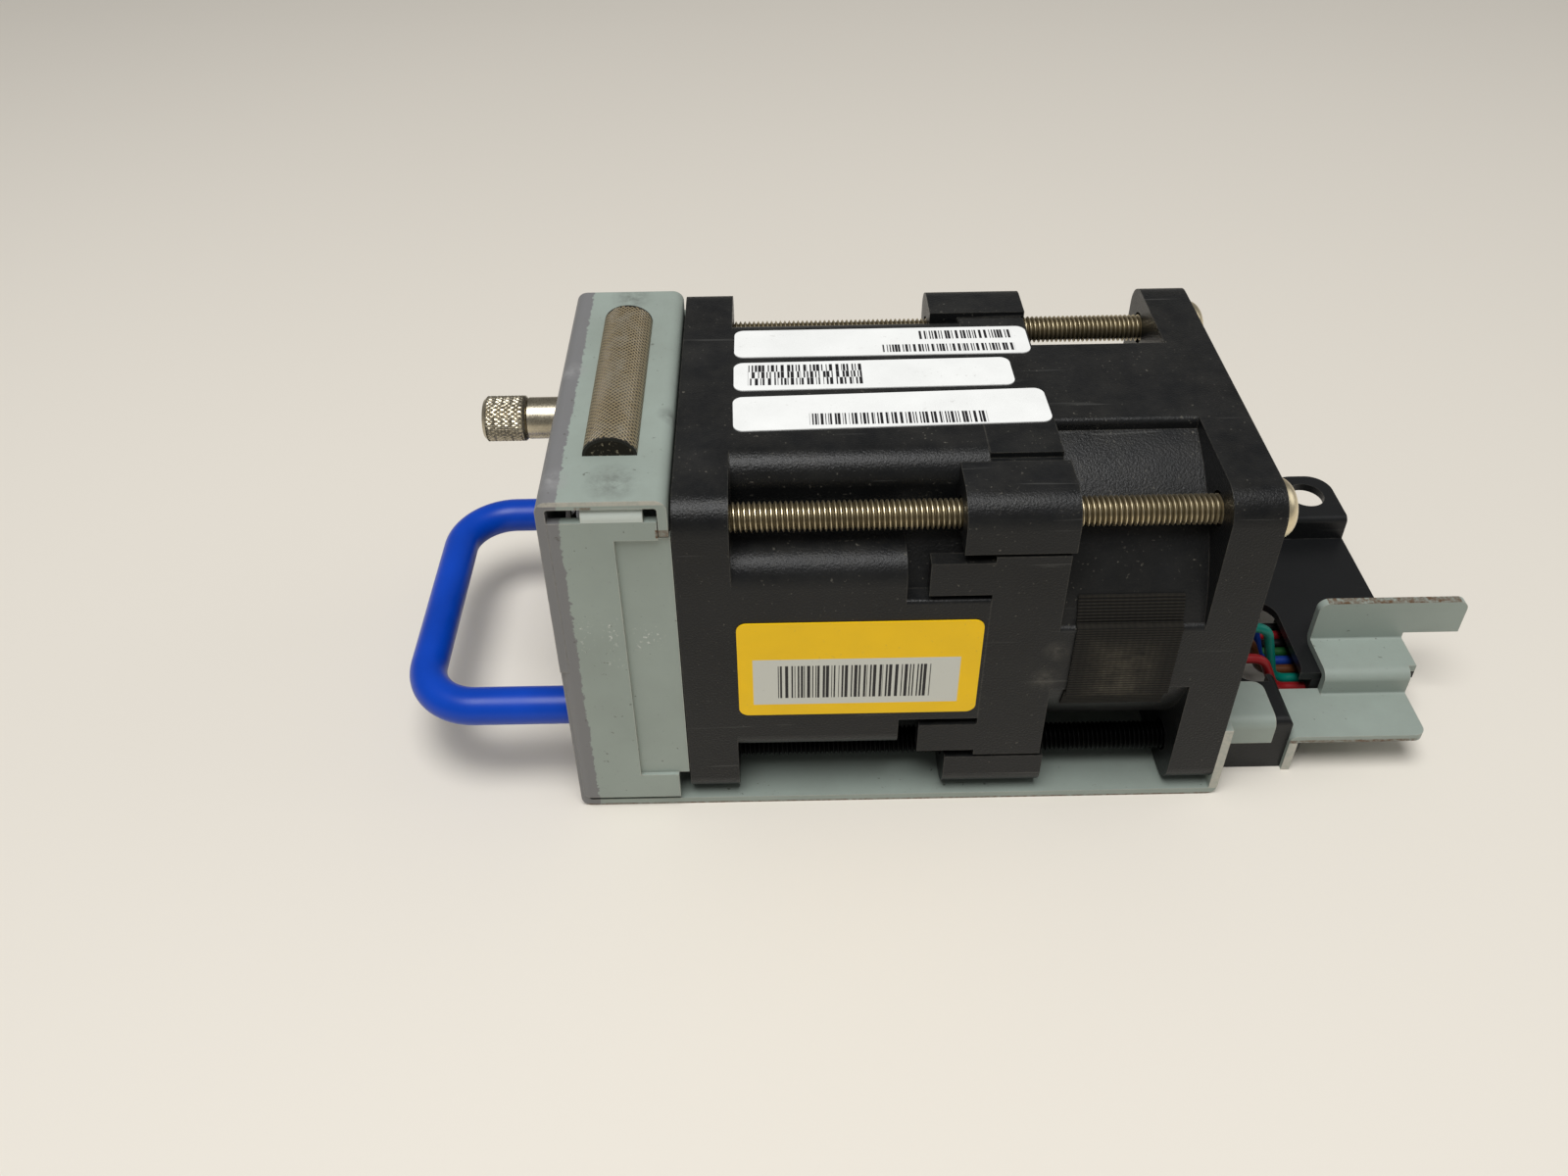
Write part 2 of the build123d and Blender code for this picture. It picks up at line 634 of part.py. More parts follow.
# Cable bracket: a flat plate behind the lugs with a wire port, a skirt on the near side and a
# stepped-up ear with a fixing hole at the far rear corner.
plate_end = lug_x + plate_len
notch_x = lug_x + plate_notch_x
under = plate_top - plate_t
rim = [(lug_x, plate_near), (notch_x, plate_near), (notch_x, plate_notch_y), (plate_end, plate_notch_y),
       (plate_end, plate_far), (lug_x, plate_far)]
outline = make_face(Polyline(*rim, close=True))
port = Pos(lug_x + port_x + port_len / 2, port_y) * RectangleRounded(port_len, port_w, port_r)
cable_plate = extrude(Pos(0, 0, under) * (outline - port), amount=plate_t)
skirt_x = notch_x - skirt_len
cable_plate += block(skirt_x, notch_x, plate_near, plate_near + plate_t, skirt_low, plate_top)
cable_plate += block(notch_x - plate_t, notch_x, plate_near, plate_notch_y, skirt_end_low, plate_top)
ear_x = plate_end - ear_w / 2
ear_end = ear_y + ear_edge
ear_top = plate_top + ear_rise
ear_base = plate_far - plate_t
cable_plate += block(plate_end - ear_w, plate_end, ear_base, plate_far, under, ear_top)
ear = Pos(ear_x, (ear_base + ear_end) / 2) * Rectangle(ear_w, ear_end - ear_base)
ear = fillet(ear.vertices().sort_by(Axis.Y)[-2:], ear_round)
ear -= Pos(ear_x, ear_y) * Circle(ear_hole_r)
cable_plate += extrude(Pos(0, 0, ear_top - plate_t) * ear, amount=plate_t)
level_edges = at(cable_plate.edges(), Axis.Z, plate_top)
bends = at(level_edges.filter_by(Axis.X), Axis.Y, plate_near)
bends += at(level_edges.filter_by(Axis.Y), Axis.X, notch_x)
bends += at(at(cable_plate.edges().filter_by(Axis.X), Axis.Z, ear_top), Axis.Y, ear_base)
cable_plate = fillet(bends, plate_bend)

# Tail bracket: one bent sheet riveted to the cable bracket, with a lower shelf, a step up to the upper
# shelf that lies on the plate, and an upright wall that runs on past it.
tail_x = notch_x
shelf_end = tail_x + shelf_len
up_x = tail_x + upper_start
up_end = up_x + upper_len
wall_end = up_x + wall_len
up_top = plate_top + sheet
wall_face = wall_y - sheet
near_line = [(tail_near, tail_low), (riser_y, tail_low), (riser_y, up_top), (wall_face, up_top),
             (wall_face, wall_top)]
far_line = [(tail_near, tail_low - sheet), (riser_y + sheet, tail_low - sheet), (riser_y + sheet, plate_top),
            (wall_y, plate_top), (wall_y, wall_top)]
wide_bend = tail_bend + sheet
near_skin = FilletPolyline(*near_line, radius=[tail_bend, wide_bend, tail_bend])
far_skin = FilletPolyline(*far_line, radius=[wide_bend, tail_bend, wide_bend])
rims = [Line(near_line[0], far_line[0]), Line(near_line[-1], far_line[-1])]
tail_section = Plane(origin=(tail_x, 0, 0), x_dir=(0, 1, 0), z_dir=(1, 0, 0)) * make_face(
    Curve() + [near_skin, far_skin] + rims)
tail = extrude(tail_section, amount=wall_end - tail_x)
tail -= block(tail_x - 1, up_x, tail_near - 1, wall_y + 1, tail_low, wall_top + 1)
tail -= block(tail_x - 1, up_x, riser_y + sheet, wall_y + 1, 0, wall_top + 1)
tail -= block(shelf_end, wall_end + 1, tail_near - 1, riser_y + sheet + tail_bend, 0, wall_top + 1)
tail -= block(up_end, wall_end + 1, riser_y, wall_y + 1, 0, plate_top + wall_foot)
tail += block(tail_x, tail_x + sheet, tail_near, riser_y, skirt_low, tail_low)
crease = at(at(tail.edges().filter_by(Axis.Y), Axis.X, tail_x), Axis.Z, tail_low)
tail = fillet(crease, sheet * 0.9)
tail = fillet(at(tail.edges().filter_by(Axis.Y), Axis.Z, wall_top), tail_round)
tail = fillet(at(at(tail.edges().filter_by(Axis.Z), Axis.X, shelf_end), Axis.Y, tail_near), tail_round)
rivet_hole = rod_x(rivet_r + tap_gap, tail_x - plate_t - 1, tail_x + sheet + 1, rivet_y, rivet_z)
tail -= rivet_hole
cable_plate -= rivet_hole
rivet = rod_x(rivet_r, tail_x - plate_t, tail_x + sheet, rivet_y, rivet_z)
rivet_head = rod_x(rivet_head_r, tail_x + sheet, tail_x + sheet + rivet_head_t, rivet_y, rivet_z)
rivet += fillet(rivet_head.edges().sort_by(Axis.X)[-1:], rivet_head_t * 0.7)

# Plug under the cable bracket, open to the rear, one contact per lead.
plug_x = lug_x + plug_start
plug_y = lead_y
plug_low = under - plug_h
plug = block(plug_x, plug_x + plug_len, plug_y - plug_w / 2, plug_y + plug_w / 2, plug_low, under)
plug_mid = (plug_low + under) / 2
lanes = [plug_y + (i - (len(leads) - 1) / 2) * wire_lane for i in range(len(leads))]
contacts = []
for y in lanes:
    plug -= block(plug_x + plug_len - cell_deep, plug_x + plug_len + 1, y - cell_w / 2, y + cell_w / 2,
                  plug_mid - cell_w, plug_mid + cell_w)
    contacts.append(block(plug_x + plug_len - cell_deep, plug_x + plug_len - pin_root, y - pin_w / 2,
                          y + pin_w / 2, plug_mid - pin_w / 2, plug_mid + pin_w / 2))

# Leads: out of the rim of the rear flange, over the edge of the plate, down through the port and into
# the plug.
exit_x = fan_rear - lead_exit
wires = {}
for colour, y, rise, reach in zip(leads, lanes, lead_rise, lead_reach):
    rim_z = axis_z - math.sqrt(bore_r ** 2 - y ** 2)
    crest = plate_top + wire_d / 2 + rise
    head_x = lug_x + port_x + reach
    route = [(exit_x, y, rim_z - lead_sunk), (exit_x, y, crest), (head_x, y, crest),
             (head_x + lead_lean, y, plug_mid), (plug_x, y, plug_mid)]
    path = FilletPolyline(*route, radius=lead_bend)
    start = Plane(origin=route[0], z_dir=(0, 0, 1))
    lead = sweep(start * Circle(wire_d / 2), path=path)
    rim = along_x(Rectangle(fan_w, fan_w) - Circle(bore_r), exit_x - wire_d, exit_x + wire_d)
    wires.setdefault(colour, []).append(lead - rim)


# Stickers lie on the flat pads; the tape is wrapped round the near side of the rear barrel.
def sticker(x0, length, middle, width, skew):
    return Pos(x0 + length / 2, middle) * Rot(0, 0, skew) * RectangleRounded(length, width, label_r)


label_x = fan_front + flange_t + label_start
far_mid = pad_half - pad_r - label_edge - label_far_w / 2
mid_mid = far_mid - label_far_w / 2 - label_gap - label_mid_w / 2
near_mid = mid_mid - label_mid_w / 2 - label_gap - label_near_w / 2
on_top = Plane(origin=(0, 0, fan_top))
on_side = Plane(origin=(0, -half, axis_z), x_dir=(1, 0, 0), z_dir=(0, -1, 0))
label_far = extrude(on_top * sticker(label_x, label_far_len, far_mid, label_far_w, 0), amount=label_t)
mid_face = sticker(label_x, label_mid_len, mid_mid, label_mid_w, label_mid_skew)
label_mid = extrude(on_top * mid_face, amount=label_t)
near_face = sticker(label_x, label_near_len, near_mid, label_near_w, label_near_skew)
label_near = extrude(on_top * near_face, amount=label_t)
side_face = sticker(label_x, label_side_len, -label_side_drop, label_side_w, 0)
label_side = extrude(on_side * side_face, amount=label_t)
tape_band = Circle(barrel_r + tape_t) + Rectangle(fan_w + 2 * tape_t, 2 * (rear_side_half + tape_t))
tape_band -= Circle(barrel_r) + Rectangle(fan_w, 2 * rear_side_half)
tape_band &= Pos(-half, 0) * Rectangle(fan_w / 2, 2 * tape_half)
tape = along_x(tape_band, ring_end + tape_start, ring_end + tape_start + tape_len)

os.makedirs("parts", exist_ok=True)
save(tray, "tray_shell")
save(grip, "grip_bar")
save(Compound(grip_screws), "grip_screws")
save(knob, "thumb_knob")
save(ferrule, "thumb_ferrule")
save(thumb_ring, "thumb_ring")
save(gasket_foam, "gasket_foam")
save(gasket_mesh, "gasket_mesh")
save(front_frame, "front_frame")
save(rear_frame, "rear_frame")
save(on_axis(impeller(front_chord, front_blades, 1), front_base_x, -1), "front_impeller")
save(on_axis(impeller(rear_chord, rear_blades, -1), rear_base_x, 1), "rear_impeller")
for piece, shape in motor.items():
    save(on_axis(shape, front_base_x, -1), "front_" + piece)
    save(on_axis(shape, rear_base_x, 1), "rear_" + piece)
save(Compound(upper_bolts), "upper_bolts")
save(Compound(lower_bolts), "lower_bolts")
save(cable_plate, "cable_bracket")
save(tail, "tail_bracket")
save(rivet, "tail_rivet")
save(plug, "plug_housing")
save(Compound(contacts), "plug_contacts")
for colour, group in wires.items():
    save(Compound(group), "wire_" + colour)
save(label_far, "label_far")
save(label_mid, "label_mid")
save(label_near, "label_near")
save(label_side, "label_side")
save(tape, "cloth_tape")
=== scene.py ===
import bpy
import bmesh
import math
from mathutils import Matrix, Vector


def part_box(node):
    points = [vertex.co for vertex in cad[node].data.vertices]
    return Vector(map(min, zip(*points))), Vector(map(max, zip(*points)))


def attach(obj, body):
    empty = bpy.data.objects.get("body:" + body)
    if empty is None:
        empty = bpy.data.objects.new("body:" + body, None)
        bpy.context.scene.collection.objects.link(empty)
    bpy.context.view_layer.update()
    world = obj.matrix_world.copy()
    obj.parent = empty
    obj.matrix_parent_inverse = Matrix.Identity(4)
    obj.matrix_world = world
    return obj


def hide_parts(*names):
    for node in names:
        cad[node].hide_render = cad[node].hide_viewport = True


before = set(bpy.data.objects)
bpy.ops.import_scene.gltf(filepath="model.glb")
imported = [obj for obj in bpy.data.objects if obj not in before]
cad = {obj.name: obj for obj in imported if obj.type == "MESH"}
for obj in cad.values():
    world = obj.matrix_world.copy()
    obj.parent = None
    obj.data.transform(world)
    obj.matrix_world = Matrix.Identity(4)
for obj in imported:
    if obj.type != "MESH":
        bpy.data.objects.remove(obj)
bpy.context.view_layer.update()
mm = 0.001
print("frame loaded,", len(cad), "nodes")


# 0 to 255 as seen on screen, to linear colour
def srgb(r, g, b):
    parts = []
    for c in (r, g, b):
        c = c / 255
        parts.append(c / 12.92 if c <= 0.04045 else ((c + 0.055) / 1.055) ** 2.4)
    return (parts[0], parts[1], parts[2], 1.0)


def darker(colour, factor):
    return (colour[0] * factor, colour[1] * factor, colour[2] * factor, 1.0)


# inputs are named, with _ for a space, or numbered as i0, i1 where names repeat
def addNode(tree, kind, settings=None, **inputs):
    made = tree.nodes.new(kind)
    for key, value in (settings or {}).items():
        setattr(made, key, value)
    for key, value in inputs.items():
        numbered = key[0] == "i" and key[1:].isdigit()
        spot = made.inputs[int(key[1:])] if numbered else made.inputs[key.replace("_", " ")]
        if isinstance(value, bpy.types.NodeSocket):
            tree.links.new(value, spot)
        else:
            spot.default_value = value
    return made


def newGroup(name, ins, outs):
    tree = bpy.data.node_groups.new(name, "ShaderNodeTree")
    for label, kind, value in ins:
        made = tree.interface.new_socket(name=label, in_out="INPUT", socket_type=kind)
        if value is not None:
            made.default_value = value
    for label in outs:
        tree.interface.new_socket(name=label, in_out="OUTPUT", socket_type="NodeSocketFloat")
    return tree, tree.nodes.new("NodeGroupInput"), tree.nodes.new("NodeGroupOutput")


def mathNode(tree, op, a, b=0.0, clamp=False):
    settings = {"operation": op, "use_clamp": clamp}
    return addNode(tree, "ShaderNodeMath", settings, i0=a, i1=b).outputs[0]


def multiply(tree, a, b):
    return mathNode(tree, "MULTIPLY", a, b)


def multiplyAdd(tree, a, factor, more):
    settings = {"operation": "MULTIPLY_ADD"}
    return addNode(tree, "ShaderNodeMath", settings, i0=a, i1=factor, i2=more).outputs[0]


def vectorNode(tree, op, a, b=(0.0, 0.0, 0.0)):
    return addNode(tree, "ShaderNodeVectorMath", {"operation": op}, i0=a, i1=b)


def separate(tree, vector):
    return addNode(tree, "ShaderNodeSeparateXYZ", Vector=vector).outputs


def ramp(tree, value, low, high, toLow=0.0, toHigh=1.0):
    return addNode(tree, "ShaderNodeMapRange", {"clamp": True}, Value=value, From_Min=low, From_Max=high,
                   To_Min=toLow, To_Max=toHigh).outputs[0]


def noise(tree, place, scale, detail=2.0, roughness=0.5):
    return addNode(tree, "ShaderNodeTexNoise", Vector=place, Scale=scale, Detail=detail,
                   Roughness=roughness).outputs[0]


def mixColour(tree, factor, a, b):
    return addNode(tree, "ShaderNodeMix", {"data_type": "RGBA"}, i0=factor, i6=a, i7=b).outputs[2]


# a box in object space, 1 inside and 0 outside, with a soft border
boxMask, given, result = newGroup(
    "box mask",
    [("Vector", "NodeSocketVector", None), ("Middle", "NodeSocketVector", None),
     ("Half", "NodeSocketVector", None), ("Soft", "NodeSocketFloat", 0.0001)],
    ["Mask"])
away = vectorNode(boxMask, "SUBTRACT", given.outputs["Vector"], given.outputs["Middle"])
span = vectorNode(boxMask, "ABSOLUTE", away.outputs[0])
room = separate(boxMask, vectorNode(boxMask, "SUBTRACT", given.outputs["Half"], span.outputs[0]).outputs[0])
least = mathNode(boxMask, "MINIMUM", mathNode(boxMask, "MINIMUM", room[0], room[1]), room[2])
boxMask.links.new(mathNode(boxMask, "DIVIDE", least, given.outputs["Soft"], True), result.inputs["Mask"])

# a blotch round a point, broken up by noise
blotch, given, result = newGroup(
    "blotch",
    [("Vector", "NodeSocketVector", None), ("Middle", "NodeSocketVector", None),
     ("Reach", "NodeSocketFloat", 0.002)],
    ["Mask"])
away = vectorNode(blotch, "DISTANCE", given.outputs["Vector"], given.outputs["Middle"])
share = mathNode(blotch, "DIVIDE", away.outputs["Value"], given.outputs["Reach"])
fall = mathNode(blotch, "SUBTRACT", 1.0, share, True)
broken = noise(blotch, given.outputs["Vector"], scale=700.0, detail=6.0, roughness=0.7)
blotch.links.new(multiply(blotch, fall, ramp(blotch, broken, low=0.35, high=0.7)), result.inputs["Mask"])

# fine moulded or sprayed grain, with slow patches of tone
grain, given, result = newGroup(
    "grain",
    [("Vector", "NodeSocketVector", None), ("Fine", "NodeSocketFloat", 6000.0),
     ("Patch", "NodeSocketFloat", 120.0)],
    ["Height", "Tone"])
fine = noise(grain, given.outputs["Vector"], given.outputs["Fine"], detail=3.0, roughness=0.6)
patch = noise(grain, given.outputs["Vector"], given.outputs["Patch"], detail=4.0, roughness=0.55)
grain.links.new(fine, result.inputs["Height"])
grain.links.new(ramp(grain, patch, low=0.3, high=0.7), result.inputs["Tone"])

# dust lies in specks, and in a thin film on what faces up
dust, given, result = newGroup(
    "dust",
    [("Vector", "NodeSocketVector", None), ("Film", "NodeSocketFloat", 0.3),
     ("Specks", "NodeSocketFloat", 0.5)],
    ["Mask"])
upward = separate(dust, addNode(dust, "ShaderNodeNewGeometry").outputs["Normal"])[2]
cloud = noise(dust, given.outputs["Vector"], scale=260.0, detail=5.0, roughness=0.7)
film = multiply(dust, ramp(dust, upward, low=-0.2, high=1.0), ramp(dust, cloud, low=0.35, high=0.75))
grit = ramp(dust, noise(dust, given.outputs["Vector"], scale=2600.0, detail=1.0), low=0.68, high=0.76)
spots = multiply(dust, grit, ramp(dust, cloud, low=0.45, high=0.62))
total = mathNode(dust, "ADD", multiply(dust, film, given.outputs["Film"]),
                 multiply(dust, spots, given.outputs["Specks"]), True)
dust.links.new(total, result.inputs["Mask"])

# long thin scratches, stretched along X
scratches, given, result = newGroup(
    "scratches",
    [("Vector", "NodeSocketVector", None), ("Stretch", "NodeSocketVector", (40.0, 900.0, 900.0))],
    ["Mask"])
pulled = vectorNode(scratches, "MULTIPLY", given.outputs["Vector"], given.outputs["Stretch"])
lines = ramp(scratches, noise(scratches, pulled.outputs[0], scale=1.6), low=0.7, high=0.74)
scratches.links.new(lines, result.inputs["Mask"])

# worn edges and painted edge highlights: where the normal rounded over a small radius leaves the true one
edgeWearAndHighlight, given, result = newGroup(
    "edge wear and highlight",
    [("Vector", "NodeSocketVector", None), ("Radius", "NodeSocketFloat", 0.0002),
     ("Bare", "NodeSocketFloat", 0.5)],
    ["Mask"])
rounded = addNode(edgeWearAndHighlight, "ShaderNodeBevel", {"samples": 4}, Radius=given.outputs["Radius"])
surface = addNode(edgeWearAndHighlight, "ShaderNodeNewGeometry")
bent = vectorNode(edgeWearAndHighlight, "DOT_PRODUCT", rounded.outputs[0], surface.outputs["Normal"])
sharp = ramp(edgeWearAndHighlight, mathNode(edgeWearAndHighlight, "SUBTRACT", 1.0, bent.outputs["Value"]), low=0.02, high=0.22)
edgeBreakup = noise(edgeWearAndHighlight, given.outputs["Vector"], scale=900.0, detail=5.0, roughness=0.65)
brokenEdge = multiply(edgeWearAndHighlight, sharp, ramp(edgeWearAndHighlight, edgeBreakup, low=0.3, high=0.62))
edgeWearAndHighlight.links.new(multiply(edgeWearAndHighlight, brokenEdge, given.outputs["Bare"]), result.inputs["Mask"])
print("groups done")


def newMaterial(name, roughness=0.5, metallic=0.0, specular=0.5):
    made = bpy.data.materials.new(name)
    made.use_nodes = True
    tree = made.node_tree
    shader = tree.nodes["Principled BSDF"]
    shader.inputs["Roughness"].default_value = roughness
    shader.inputs["Metallic"].default_value = metallic
    shader.inputs["Specular IOR Level"].default_value = specular
    place = addNode(tree, "ShaderNodeTexCoord").outputs["Object"]
    return made, tree, shader, place


def useGroup(tree, group, **inputs):
    made = addNode(tree, "ShaderNodeGroup", {"node_tree": group}, **inputs)
    return made.outputs


def setBump(tree, shader, height, strength, depth):
    made = addNode(tree, "ShaderNodeBump", Strength=strength, Distance=depth * mm, Height=height)
    tree.links.new(made.outputs[0], shader.inputs["Normal"])


def setColour(tree, shader, colour):
    tree.links.new(colour, shader.inputs["Base Color"])


def setRoughness(tree, shader, roughness):
    tree.links.new(roughness, shader.inputs["Roughness"])


# a grained surface: roughness follows the slow tone, bump the fine grain
def setGrain(tree, shader, place, look):
    soft = useGroup(tree, grain, Vector=place, Fine=look["fine"], Patch=look["patch"])
    setRoughness(tree, shader, ramp(tree, soft["Tone"], 0.0, 1.0, *look["roughness"]))
    setBump(tree, shader, soft["Height"], *look["bump"])
    return soft["Tone"]


# low and high corners, and the soft border, in millimetres
def boxAt(tree, place, low, high, soft):
    middle = [(a + b) / 2 * mm for a, b in zip(low, high)]
    halfSize = [(b - a) / 2 * mm for a, b in zip(low, high)]
    return useGroup(tree, boxMask, Vector=place, Middle=middle, Half=halfSize, Soft=soft * mm)[0]


def blotchAt(tree, place, middle, reach):
    spot = [c * mm for c in middle]
    return useGroup(tree, blotch, Vector=place, Middle=spot, Reach=reach * mm)[0]


def dustAt(tree, place, film, specks):
    return useGroup(tree, dust, Vector=place, Film=film, Specks=specks)[0]


# edge mask: worn bare edges on the paints, and a painted highlight along the edges of the fan plastic
def edgeWearAndHighlightAt(tree, place, radius, bare):
    return useGroup(tree, edgeWearAndHighlight, Vector=place, Radius=radius * mm, Bare=bare)[0]


# one colour laid over another inside boxes, where a mask lets it
def markBoxes(tree, place, colour, boxes, soft, mask, mark):
    for low, high in boxes:
        cover = multiply(tree, boxAt(tree, place, low, high, soft), mask)
        colour = mixColour(tree, cover, colour, mark)
    return colour


def coat(node, material):
    cad[node].data.materials.clear()
    cad[node].data.materials.append(material)


# sheet paint: grey-green coat, darker grey sprayed on the face and a little way round its bends, smudges by
# the gasket, rubbed flecks, bare and brown cut edges, a painted highlight on a rim; places and depths in
# millimetres
paintLook = {
    "green": srgb(149, 160, 152), "greenDeep": srgb(139, 149, 141), "face": srgb(116, 116, 117),
    # rim is a painted highlight colour, for an edge that faces up
    "smudge": srgb(84, 86, 82), "pale": srgb(150, 150, 150), "rim": srgb(190, 198, 191),
    "fleck": srgb(196, 200, 194), "speck": srgb(70, 68, 60), "grime": srgb(104, 100, 90),
    "worn": srgb(192, 188, 176), "steel": srgb(186, 182, 170), "brown": srgb(92, 66, 42),
    "band": 2.0, "ragged": 1.4, "fleckSoft": 0.8, "edgeSoft": 0.03, "speckShare": 0.6, "film": 0.12,
    "dustSpecks": 0.2, "edgeRadius": 0.2, "edgeShare": 0.75, "wearMetal": 0.6, "steelShare": (0.35, 0.9),
    "fine": 5200.0, "patch": 90.0, "roughness": (0.36, 0.52), "bump": (0.25, 0.05)}
trayMarks = {
    "smudges": [((-33.7, 14.9, 42.9), 2.6), ((-33.2, -17.5, 42.9), 3.0), ((-28.4, -7.0, 42.6), 1.6)],
    "pale": [((-38.7, 0.7, 42.9), 1.7), ((-38.7, -17.1, 42.9), 2.0)],
    # rim: a painted highlight on the top edge of the side flange between the slots, where it faces up
    "rim": [((-36.4, -20.6, 40.45), (-30.4, -18.5, 42.05))],
    "flecked": [((-38.0, -22.5, 23.2), (-36.0, -17.5, 28.8)), ((-35.5, -22.5, 21.2), (-33.4, -17.5, 28.8)),
                ((-32.6, -22.5, 23.6), (-29.2, -17.5, 27.4))],
    "bare": [((27.9, -20.05, 0.9), (29.0, -19.97, 10.3)), ((27.9, 19.97, 0.9), (29.0, 20.05, 10.3)),
             ((-39.6, -20.35, 42.4), (-28.2, -20.27, 42.95))],
    "brown": [((-29.4, -20.4, 38.5), (-28.0, -19.6, 39.5)), ((-36.4, -20.4, 41.7), (-34.9, -19.9, 42.3)),
              ((-42.0, -20.05, -0.1), (29.5, -19.97, 0.25))]}
tailMarks = {
    "smudges": [], "pale": [], "rim": [], "flecked": [],
    "bare": [((36.5, -17.1, -0.1), (38.0, -16.95, 4.4))],
    "brown": [((36.0, -5.5, 13.94), (60.0, -4.3, 14.1)), ((36.0, -17.1, 4.4), (60.0, -16.95, 4.9))]}


def sheetPaint(name, marks, faceEdge):
    look = paintLook
    made, tree, shader, place = newMaterial(name)
    tone = setGrain(tree, shader, place, look)
    colour = mixColour(tree, tone, look["green"], look["greenDeep"])
    if faceEdge is not None:
        start = faceEdge + (look["band"] - look["ragged"] / 2) * mm
        torn = noise(tree, place, scale=1300.0, detail=6.0, roughness=0.75)
        reach = multiplyAdd(tree, torn, look["ragged"] * mm, start)
        sprayed = mathNode(tree, "LESS_THAN", separate(tree, place)[0], reach)
        colour = mixColour(tree, sprayed, colour, look["face"])
    for middle, size in marks["smudges"]:
        colour = mixColour(tree, blotchAt(tree, place, middle, size), colour, look["smudge"])
    for middle, size in marks["pale"]:
        colour = mixColour(tree, blotchAt(tree, place, middle, size), colour, look["pale"])
    # painted highlight: the pale rim colour laid in the rim boxes
    colour = markBoxes(tree, place, colour, marks["rim"], look["edgeSoft"], 1.0, look["rim"])
    rubbed = ramp(tree, noise(tree, place, scale=2300.0, detail=4.0, roughness=0.7), low=0.6, high=0.66)
    colour = markBoxes(tree, place, colour, marks["flecked"], look["fleckSoft"], rubbed, look["fleck"])
    specks = ramp(tree, noise(tree, place, scale=1500.0), low=0.72, high=0.76)
    colour = mixColour(tree, multiply(tree, specks, look["speckShare"]), colour, look["speck"])
    colour = mixColour(tree, dustAt(tree, place, look["film"], look["dustSpecks"]), colour, look["grime"])
    wornAndLitEdge = edgeWearAndHighlightAt(tree, place, look["edgeRadius"], look["edgeShare"])
    colour = mixColour(tree, wornAndLitEdge, colour, look["worn"])
    rusty = ramp(tree, noise(tree, place, scale=1800.0, detail=5.0, roughness=0.7), low=0.3, high=0.6)
    shiny = ramp(tree, rusty, 0.0, 1.0, *look["steelShare"])
    colour = markBoxes(tree, place, colour, marks["bare"], look["edgeSoft"], shiny, look["steel"])
    colour = markBoxes(tree, place, colour, marks["brown"], look["edgeSoft"], rusty, look["brown"])
    setColour(tree, shader, colour)
    tree.links.new(multiply(tree, wornAndLitEdge, look["wearMetal"]), shader.inputs["Metallic"])
    return made


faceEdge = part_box("tray_shell")[0].x
coat("tray_shell", sheetPaint("tray paint", trayMarks, faceEdge))
coat("tail_bracket", sheetPaint("bracket paint", tailMarks, None))

# black paint on the cable bracket and rivet
blackLook = {
    "paint": srgb(20, 21, 22), "worn": srgb(58, 58, 56), "edge": srgb(104, 102, 96), "specular": 0.3,
    "wornShare": 0.4, "edgeRadius": 0.16, "edgeShare": 0.5,
    "fine": 4200.0, "patch": 160.0, "roughness": (0.32, 0.46), "bump": (0.3, 0.06)}
blackCoat, tree, shader, place = newMaterial("black paint", specular=blackLook["specular"])
setGrain(tree, shader, place, blackLook)
rub = multiply(tree, useGroup(tree, scratches, Vector=place)[0], blackLook["wornShare"])
colour = mixColour(tree, rub, blackLook["paint"], blackLook["worn"])
wornAndLitEdge = edgeWearAndHighlightAt(tree, place, blackLook["edgeRadius"], blackLook["edgeShare"])
setColour(tree, shader, mixColour(tree, wornAndLitEdge, colour, blackLook["edge"]))
coat("cable_bracket", blackCoat)
coat("tail_rivet", blackCoat)

# moulded fan plastic, satin black under a little dust, scuffed beside the yellow sticker, with a painted
# highlight along its edges
fanLook = {
    # dust is also the colour of the painted highlight along the edges
    "black": srgb(15, 16, 17), "sheen": srgb(24, 25, 26), "dust": srgb(120, 116, 106),
    "rub": srgb(86, 86, 84), "rubShare": 0.3, "edgeRadius": 0.22, "edgeShare": 0.32, "scuffShare": 0.4,
    "fine": 4300.0, "patch": 110.0, "roughness": (0.28, 0.38), "dustRoughness": 0.5, "specular": 0.22,
    "bump": (0.6, 0.1)}
housingMarks = {"film": 0.07, "specks": 0.5, "scuffs": [((8.9, -20.0, 22.6), 1.6), ((8.2, -20.0, 18.6), 1.9)]}
bladeMarks = {"film": 0.04, "specks": 0.15, "scuffs": []}


